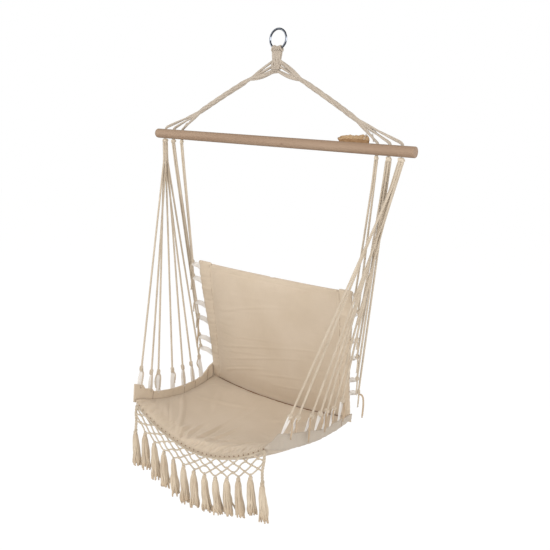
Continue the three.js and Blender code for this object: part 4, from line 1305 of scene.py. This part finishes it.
def back_folds(x, y):
    """Long faint wrinkles that rise across the pillow, most of them in its lower half, and the
    stitched line under its top edge."""
    height = 0.55 * fold_lines(x, y, back_wrinkles) - 0.0010 * bump(y, back_length - 0.020, 0.0022)
    uneven = np.sin(23 * x + 1) * np.sin(29 * y) + 0.5 * np.sin(47 * x + 23 * y + 1) * np.sin(11 * x - 61 * y)
    side = pillow_edge(np.clip(y / back_length, 0, 1)) - np.abs(x)
    return (height + 0.0007 * uneven) * np.clip(side * 60, 0, 1)


def pad_sheets(place, face, thickness, fullness, lift, roll=0):
    """The upper and the lower side of a crowned pad: a grid of places, closer together at the rim,
    each set off the middle surface by half the rim's thickness and its share of the swell. Over
    the roll's length the upper side turns down to the front edge as a quarter circle does."""
    a, b = (np.sin(np.linspace(-np.pi / 2, np.pi / 2, count) * ease) / math.sin(np.pi / 2 * ease)
            for count, ease in ((112, 0.97), (88, 0.95)))
    across, share = np.meshgrid(a, (b + 1) / 2)
    swell = (thickness - pad_edge) * crown(across, share, fullness)
    middle = place(across, share)
    edge = pad_edge / 2
    if roll:
        edge = edge * (2 * np.sqrt(1 - (1 - np.clip(share * seat_depth / roll, 0, 1)) ** 2) - 1)
    lower = middle - (pad_edge / 2 + swell * (1 - lift))[..., None] * face
    return middle + (edge + swell * lift)[..., None] * face, lower


def points_of(mesh, key="co"):
    """The mesh's corners or their normals as rows of three."""
    values = np.empty(len(mesh.vertices) * 3, np.float32)
    mesh.vertices.foreach_get(key, values)
    return values.reshape(-1, 3).astype(float)


def inflate(made, rim, cap):
    """Blows the pad up as cloth: the skin is remeshed evenly, its rim is held, air presses from
    inside step by step, and no point may move further than the cap."""
    remesh = made.modifiers.new("even", "REMESH")
    remesh.mode, remesh.voxel_size = "VOXEL", pad_voxel
    mesh = apply_modifiers(made)
    start = points_of(mesh)
    made.vertex_groups.new(name="held").add(np.nonzero(rim(start))[0].tolist(), 1.0, "REPLACE")
    cloth = made.modifiers.new("cloth", "CLOTH")
    for key, value in canvas_as_cloth.items():
        setattr(cloth.settings, key, value)
    cloth.settings.effector_weights.gravity = 0
    cloth.point_cache.frame_start, cloth.point_cache.frame_end = 1, blow_steps
    scene = bpy.context.scene
    for step in range(blow_steps):
        scene.frame_set(step + 1)
    shift = points_of(made.evaluated_get(bpy.context.evaluated_depsgraph_get()).to_mesh()) - start
    shift = shift * np.minimum(1, cap / np.maximum(np.linalg.norm(shift, axis=1, keepdims=True), 1e-9))
    made.modifiers.clear()
    scene.frame_set(1)
    fill(mesh.vertices, "co", (start + shift).astype(np.float32))
    mesh.update()


def crease(made, flat, folds, face):
    """Makes the pad finer by one subdivision, pushes the folds out of its upper side along the
    face, and gives it its flat map."""
    fine = made.modifiers.new("fine", "SUBSURF")
    fine.levels = fine.render_levels = 1
    mesh = apply_modifiers(made)
    points, normals = points_of(mesh), points_of(mesh, "normal")
    x, y = flat(points).T
    raised = points + (smooth_step(normals @ face, 0.15, 0.75) * folds(x, y))[:, None] * face
    fill(mesh.vertices, "co", raised.astype(np.float32))
    corners = np.empty(len(mesh.loops), np.int32)
    mesh.loops.foreach_get("vertex_index", corners)
    layer = mesh.uv_layers.get("run") or mesh.uv_layers.new(name="run")
    fill(layer.data, "uv", np.stack([x, y], axis=1)[corners].astype(np.float32))


def seat_flat(points):
    """Places on the seat's canvas laid flat, from the middle of its hem."""
    return points[:, :2] + np.array([0, seat_front_reach])


def back_flat(points):
    """Places on the back's canvas laid flat, from the middle of the seam."""
    return np.stack([points[:, 0], (points - [0, seat_rear_reach, -seat_rear_drop]) @ back_up], axis=1)


def back_place(across, share):
    """The back's middle surface, whose foot follows the seat's own sag so that the two meet."""
    up = mix(seam_start_share, 1, share)
    point = back_surface(across, up, pillow_edge(up) + 0.0015)
    drop = seam_sag * point[..., 0] ** 2 * (pillow_edge(0) ** -2 - seat_half_width(1) ** -2)
    return point - (drop * (1 - share) ** 3)[..., None] * Z


def seat_rim(points):
    """Which points lie within the held width of the seat's rim."""
    share = (points[:, 1] + seat_front_reach) / seat_depth
    beside = sling_half_width(share) - np.abs(points[:, 0])
    ahead = np.minimum(points[:, 1] + seat_front_reach, seat_rear_reach - points[:, 1])
    return np.minimum(beside, ahead) < held_width


def back_rim(points):
    """Which points lie within the held width of the back's rim."""
    share = back_flat(points)[:, 1] / back_length
    beside = pillow_edge(share) - np.abs(points[:, 0])
    ahead = np.minimum(share - seam_start_share, 1 - share) * back_length
    return np.minimum(beside, ahead) < held_width


def make_pads():
    """Seat and back: crowned pads, blown up as cloth and then creased. They start thinner by as
    much as the air swells them."""
    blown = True
    thinner = 0.004 if blown else 0
    seat = pad_sheets(seat_surface, Z, seat_thickness - thinner, 6, 0.55, roll=0.034)
    back = pad_sheets(back_place, back_front, back_thickness - thinner, 2, 0.6)
    for node, sheets, rim, cap, flat, folds, face in (
            ("seat_pad", seat, seat_rim, 0.006, seat_flat, seat_folds, Z),
            ("back_pad", back, back_rim, 0.007, back_flat, back_folds, back_front)):
        made = show(f"{node}_canvas", make_mesh(f"{node}_canvas", closed_pad(*sheets)))
        if blown:
            inflate(made, rim, cap)
        crease(made, flat, folds, face)
        dress(made, canvas, "seat", [node])


def make_seam_tape():
    """A binding tape that backs the seam between seat and back from corner to corner, and a dark
    brown line of painted shade in the crevice where the two meet."""
    middle = back_surface(np.linspace(-1, 1, 60), 0.006, seat_half_width(1) - 0.0008)
    tape = sweep(middle - back_front * 0.0045 - Z * 0.003, 0.014, 0.0012, lean=back_front, sides=14, boxy=4)
    # the binding tape wears the lighter copy of the canvas, which is painted light
    piece("back_seam_tape", [tape], border_canvas_painted_light, "seat")
    across = np.linspace(-0.9, 0.9, 90)
    # a brown cord set forward into the crevice: painted shade where seat and back meet, thickest in the
    # middle
    shade_path = back_surface(across, 0.011, seat_half_width(1) - 0.004)
    shade_path = shade_path + back_front * (0.0106 - 0.0014 * across**4)[:, None] + Z * 0.0060
    thread = 0.0010 + 0.0011 * bump(across, 0.0, 0.45) + 0.0003 * np.sin(31 * across)
    line = sweep(shade_path, thread, lean=back_front, sides=8, boxy=round_canvas)
    piece("back_seam_shade_line", [line], seam_and_shade_canvas, "seat")


# Fringe

def net_strand_path(start, end, bow, twist):
    """A strand between two knots: nearly straight, bowed a little to the side and to the front."""
    t = np.linspace(0, 1, 9)[:, None]
    side = unit(np.cross(end - start, Y))
    swing = np.sin(np.pi * t)
    return even((1 - t) * start + t * end + side * bow * swing + Y * twist * swing, 0.0024)


def make_net():
    """Strands that cross between rows of knots, a plaited cord down each side to its corner's
    knot, the header cord under the hem, and the threads that sew it on through the hem's holes."""
    rng = np.random.default_rng(21)
    last = tassel_count - 1
    skins, places = [], {}

    def put(column, row):
        """The knot's place, a little off the even net below the header."""
        if (column, row) not in places:
            jog = rng.normal(0, 0.0008, 3) * (1 if row else 0)
            places[(column, row)] = net_point(column, row) + jog
        return places[(column, row)]

    for row in range(net_rows):
        for column in np.arange(0.5 if row % 2 else 0, last + 0.1, 1):
            for near in (column - 0.5, column + 0.5):
                if 0 <= near <= last:
                    ends = put(column, row), put(near, row + 1)
                    path = net_strand_path(*ends, rng.normal(0, 0.0014), rng.normal(0, 0.0012))
                    skins.append(laid_cord(path, net_strand, lean=Y, sides=9, turn=rng.random() * 3))
    for (column, row), point in places.items():
        if row:
            skins.append(knot(point, Z, net_knot * 1.15, net_knot * 1.1, 0.0042, turn=rng.random() * 3))
    for column, side in ((0, -1), (last, 1)):
        ends = [put(column, net_rows), corner_head(side) - Z * corner_cord * 0.35]
        line = through([put(column, 0), put(column, 2), *ends], 0.0022, 0.4)
        skins += [laid_cord(path, 0.0046, lean=Y, sides=9, turn=k)
                  for k, path in enumerate(strands_round(line, 0.030, 0.0026, X, 0.0016, Y))]
    x = np.linspace(-last / 2 * tassel_pitch, last / 2 * tassel_pitch, 500)
    header = xyz(x, -seat_front_reach, hem_z(x))
    skins += [sweep(path, 0.0017, lean=Y, sides=7)
              for path in strands_round(header, 0.0145, 0.0016, Z, 0.0014, Y)]
    holes = []
    for k in range(last * 5 + 1):
        x = -last / 2 * tassel_pitch + k * tassel_pitch / 5
        foot = xyz(x, -seat_front_reach, float(hem_z(x)))
        thread = foot + xyz(0, [-0.0012, -0.0014, 0.0010, 0.005], [0.0015, 0.006, 0.0105, 0.0145])
        skins.append(sweep(through(thread, 0.0022), 0.0009, lean=X, sides=6))
        # every other thread gets a dark brown spot on the hem: painted shade in its stitch hole
        if k % 2:
            spot = foot + xyz(np.array([-1, -0.3, 0.3, 1]) * 0.0020 + 0.0032, 0.0004, 0.0082)
            holes.append(sweep(spot, np.array([0.0005, 0.0017, 0.0017, 0.0005]), sides=8, boxy=round_canvas))
    for side in (-1, 1):
        head = corner_head(side) - Z * corner_cord * 0.25
        skins.append(knot(head, Z, corner_cord * 1.4, corner_cord * 1.3, 0.0050, turn=side))
    piece("hem_stitch_hole_shade", holes, seam_and_shade_canvas, "seat")
    piece("fringe_net_knotted", skins, net_cotton, "seat", ["fringe_net"])


def tassel_pivot(index):
    corner = index in (0, tassel_count - 1)
    carrier = corner_head(1 if index else -1) if corner else net_point(index, net_rows)
    clear = (corner_cord if corner else net_knot) / 2 + touch_gap
    return carrier - Z * (clear + tassel_head / 2)


tassel_marks = [0, 0.06, 0.14, 0.36, 0.62, 0.86, 1]
tassel_girths = [0.31, 0.46, 0.56, 0.72, 0.84, 1.0, 1.06]
yarn_count = 22
sunflower_angle = 2.39996


def make_tassel(index):
    """A round head knot, a core, yarns that hang round it, flare and curl, and a binding."""
    rng = np.random.default_rng(300 + index)
    pivot = tassel_pivot(index)
    skins = [knot(pivot + Z * 0.0015, Z, tassel_head, tassel_head * 1.1, 0.0060, turn=index)]
    lean, sway, plump = tassel_lean * rng.uniform(0.75, 1.1), rng.normal(0, 0.003), rng.uniform(0.86, 1.06)
    girths = np.array(tassel_girths) * np.r_[1, 1, rng.uniform(0.9, 1.15, 5)]
    drop = np.linspace(0.02, 0.9, 14)
    core = np.interp(drop, tassel_marks, girths) * tassel_width / 2 * plump
    path = pivot + xyz(lean * drop**1.3, sway * drop**2, -drop * tassel_length)
    skins.append(sweep(path, core * 0.86, core * 0.78, lean=Y, sides=20, plies=10, lay=0.5, groove=0.1))
    drop = np.linspace(0, 1, 19)
    thick = 0.0028 * np.interp(drop, [0, 0.1, 0.9, 1], [0.8, 1, 1.05, 0.8])
    for k in range(yarn_count):
        ring_share = 0.72 + 0.28 * ((k * 7) % yarn_count) / yarn_count
        angle = sunflower_angle * k + rng.normal(0, 0.2)
        length = tassel_length * rng.uniform(0.86, 1.0)
        girth = np.interp(drop * length / tassel_length, tassel_marks, girths)
        girth = girth * tassel_width / 2 * ring_share * plump
        wander, phase = rng.normal(0, 0.0026, 2), rng.uniform(0, 6, 2)
        x = girth * np.cos(angle) + lean * drop**1.3 + wander[0] * np.sin(8 * drop + phase[0]) * drop
        y = girth * np.sin(angle) * 0.9 + sway * drop**2 + wander[1] * np.sin(7 * drop + phase[1]) * drop
        path = pivot + xyz(x, y, -drop * length - 0.001)
        skins.append(sweep(path, thick, lean=Y, sides=8, plies=2, lay=0.014, groove=0.08))
    turn = circle(24)
    for k in range(3):
        height = -0.0075 - 0.0024 * k + 0.0005 * np.sin(turn)
        path = pivot + xyz(0.0056 * np.cos(turn), 0.0056 * np.sin(turn), height)
        skins.append(sweep(path, 0.0014, sides=6, closed=True))
    node = f"tassel_{index + 1:02d}"
    piece(f"{node}_yarns", skins, tassel_cotton, node, [node])


# Floor, light and background

def set_floor():
    """A pale floor that looks white to the camera and keeps the chair's shadow."""
    far, low = 14.0, -1.95
    mesh = bpy.data.meshes.new("floor")
    corners = [(-far, -far, low), (far, -far, low), (far, far, low), (-far, far, low)]
    mesh.from_pydata(corners, [], [(0, 1, 2, 3)])
    floor = show("floor", mesh)
    pale = Finish("floor_pale", 0.9)
    pale.colour(pale.blend(pale.noise("Object", 2.0, 2.0), (0.85, 0.85, 0.85, 1), (0.87, 0.87, 0.87, 1)))
    white = pale.node("ShaderNodeEmission", {"Color": (1, 1, 1, 1), "Strength": 1.06})[0]
    seen = pale.maths("MULTIPLY", pale.node("ShaderNodeLightPath")["Is Camera Ray"], 0.85)
    both = pale.node("ShaderNodeMixShader", {0: seen, 1: pale.shader.outputs["BSDF"], 2: white})[0]
    pale.feed(pale.tree.nodes["Material Output"], {"Surface": both})
    mesh.materials.append(pale.material)
    floor.visible_glossy = False


def set_studio():
    """White to the camera. The light on the chair is brightest level with the eye; what steel
    mirrors is dimmer straight up and straight down, and dark before and behind the chair."""
    world = bpy.data.worlds.new("studio")
    bpy.context.scene.world = world
    world.use_nodes = True
    world.node_tree.nodes.clear()
    studio = Nodes(world.node_tree)
    rays = studio.node("ShaderNodeLightPath")
    way = studio.node("ShaderNodeTexCoord")["Generated"]
    steep = studio.maths("ABSOLUTE", studio.node("ShaderNodeSeparateXYZ", {"Vector": way})["Z"])

    def light(colour, strength=1.0):
        return studio.node("ShaderNodeBackground", {"Color": colour, "Strength": strength})[0]

    def blend(share, first, second):
        return studio.node("ShaderNodeMixShader", {0: share, 1: first, 2: second})[0]

    soft = light((1, 0.99, 0.975, 1), studio.spread(steep, 0.1, 0.9, 1.02, 0.72))
    polished = light((0.9, 0.94, 1, 1), studio.spread(steep, 0.12, 0.45, 1.0, 0.02))
    before = studio.node("ShaderNodeVectorMath", {0: way, 1: camera_place}, operation="DOT_PRODUCT")["Value"]
    shaded = studio.spread(studio.maths("ABSOLUTE", before), 1.45, 2.0, 0, 0.9)
    polished = blend(shaded, polished, light((0.05, 0.055, 0.065, 1)))
    lit = blend(rays["Is Glossy Ray"], soft, polished)
    studio.node("ShaderNodeOutputWorld", {"Surface": blend(rays["Is Camera Ray"], lit, light((1, 1, 1, 1)))})


def set_lamps():
    """Three large soft lamps; the key is kept out of what the steel mirrors."""
    aim = Vector((0, -0.05, -0.85))
    lamps = (("key", (-1.6, -2.8, 0.8), 1.8, 48), ("fill", (2.8, -1.6, 0.2), 2.0, 42),
             ("rear", (0.5, 2.6, 0.9), 1.6, 14))
    for name, place, size, power in lamps:
        lamp = bpy.data.lights.new(name, "AREA")
        lamp.size, lamp.energy = size, power
        made = show(name, lamp)
        made.location = place
        made.visible_glossy = name != "key"
        made.rotation_euler = (aim - Vector(place)).to_track_quat("-Z", "Y").to_euler()


set_camera()
make_ring()
make_ring_loops()
make_hitch()
make_bar()
make_tag()
for word, side in sides_of_chair:
    make_rope(word, side)
    make_seat_cords(word, side)
    make_back_cords(word, side)
    make_seat_tapes(word, side)
    make_back_tapes(word, side)
    make_seat_border(word, side)
    make_back_casing(word, side)
for word in long_tails:
    make_long_tail(word)
make_pads()
make_seam_tape()
make_net()
for number in range(tassel_count):
    make_tassel(number)
set_floor()
set_studio()
set_lamps()
bpy.context.scene.view_settings.view_transform = "Standard"
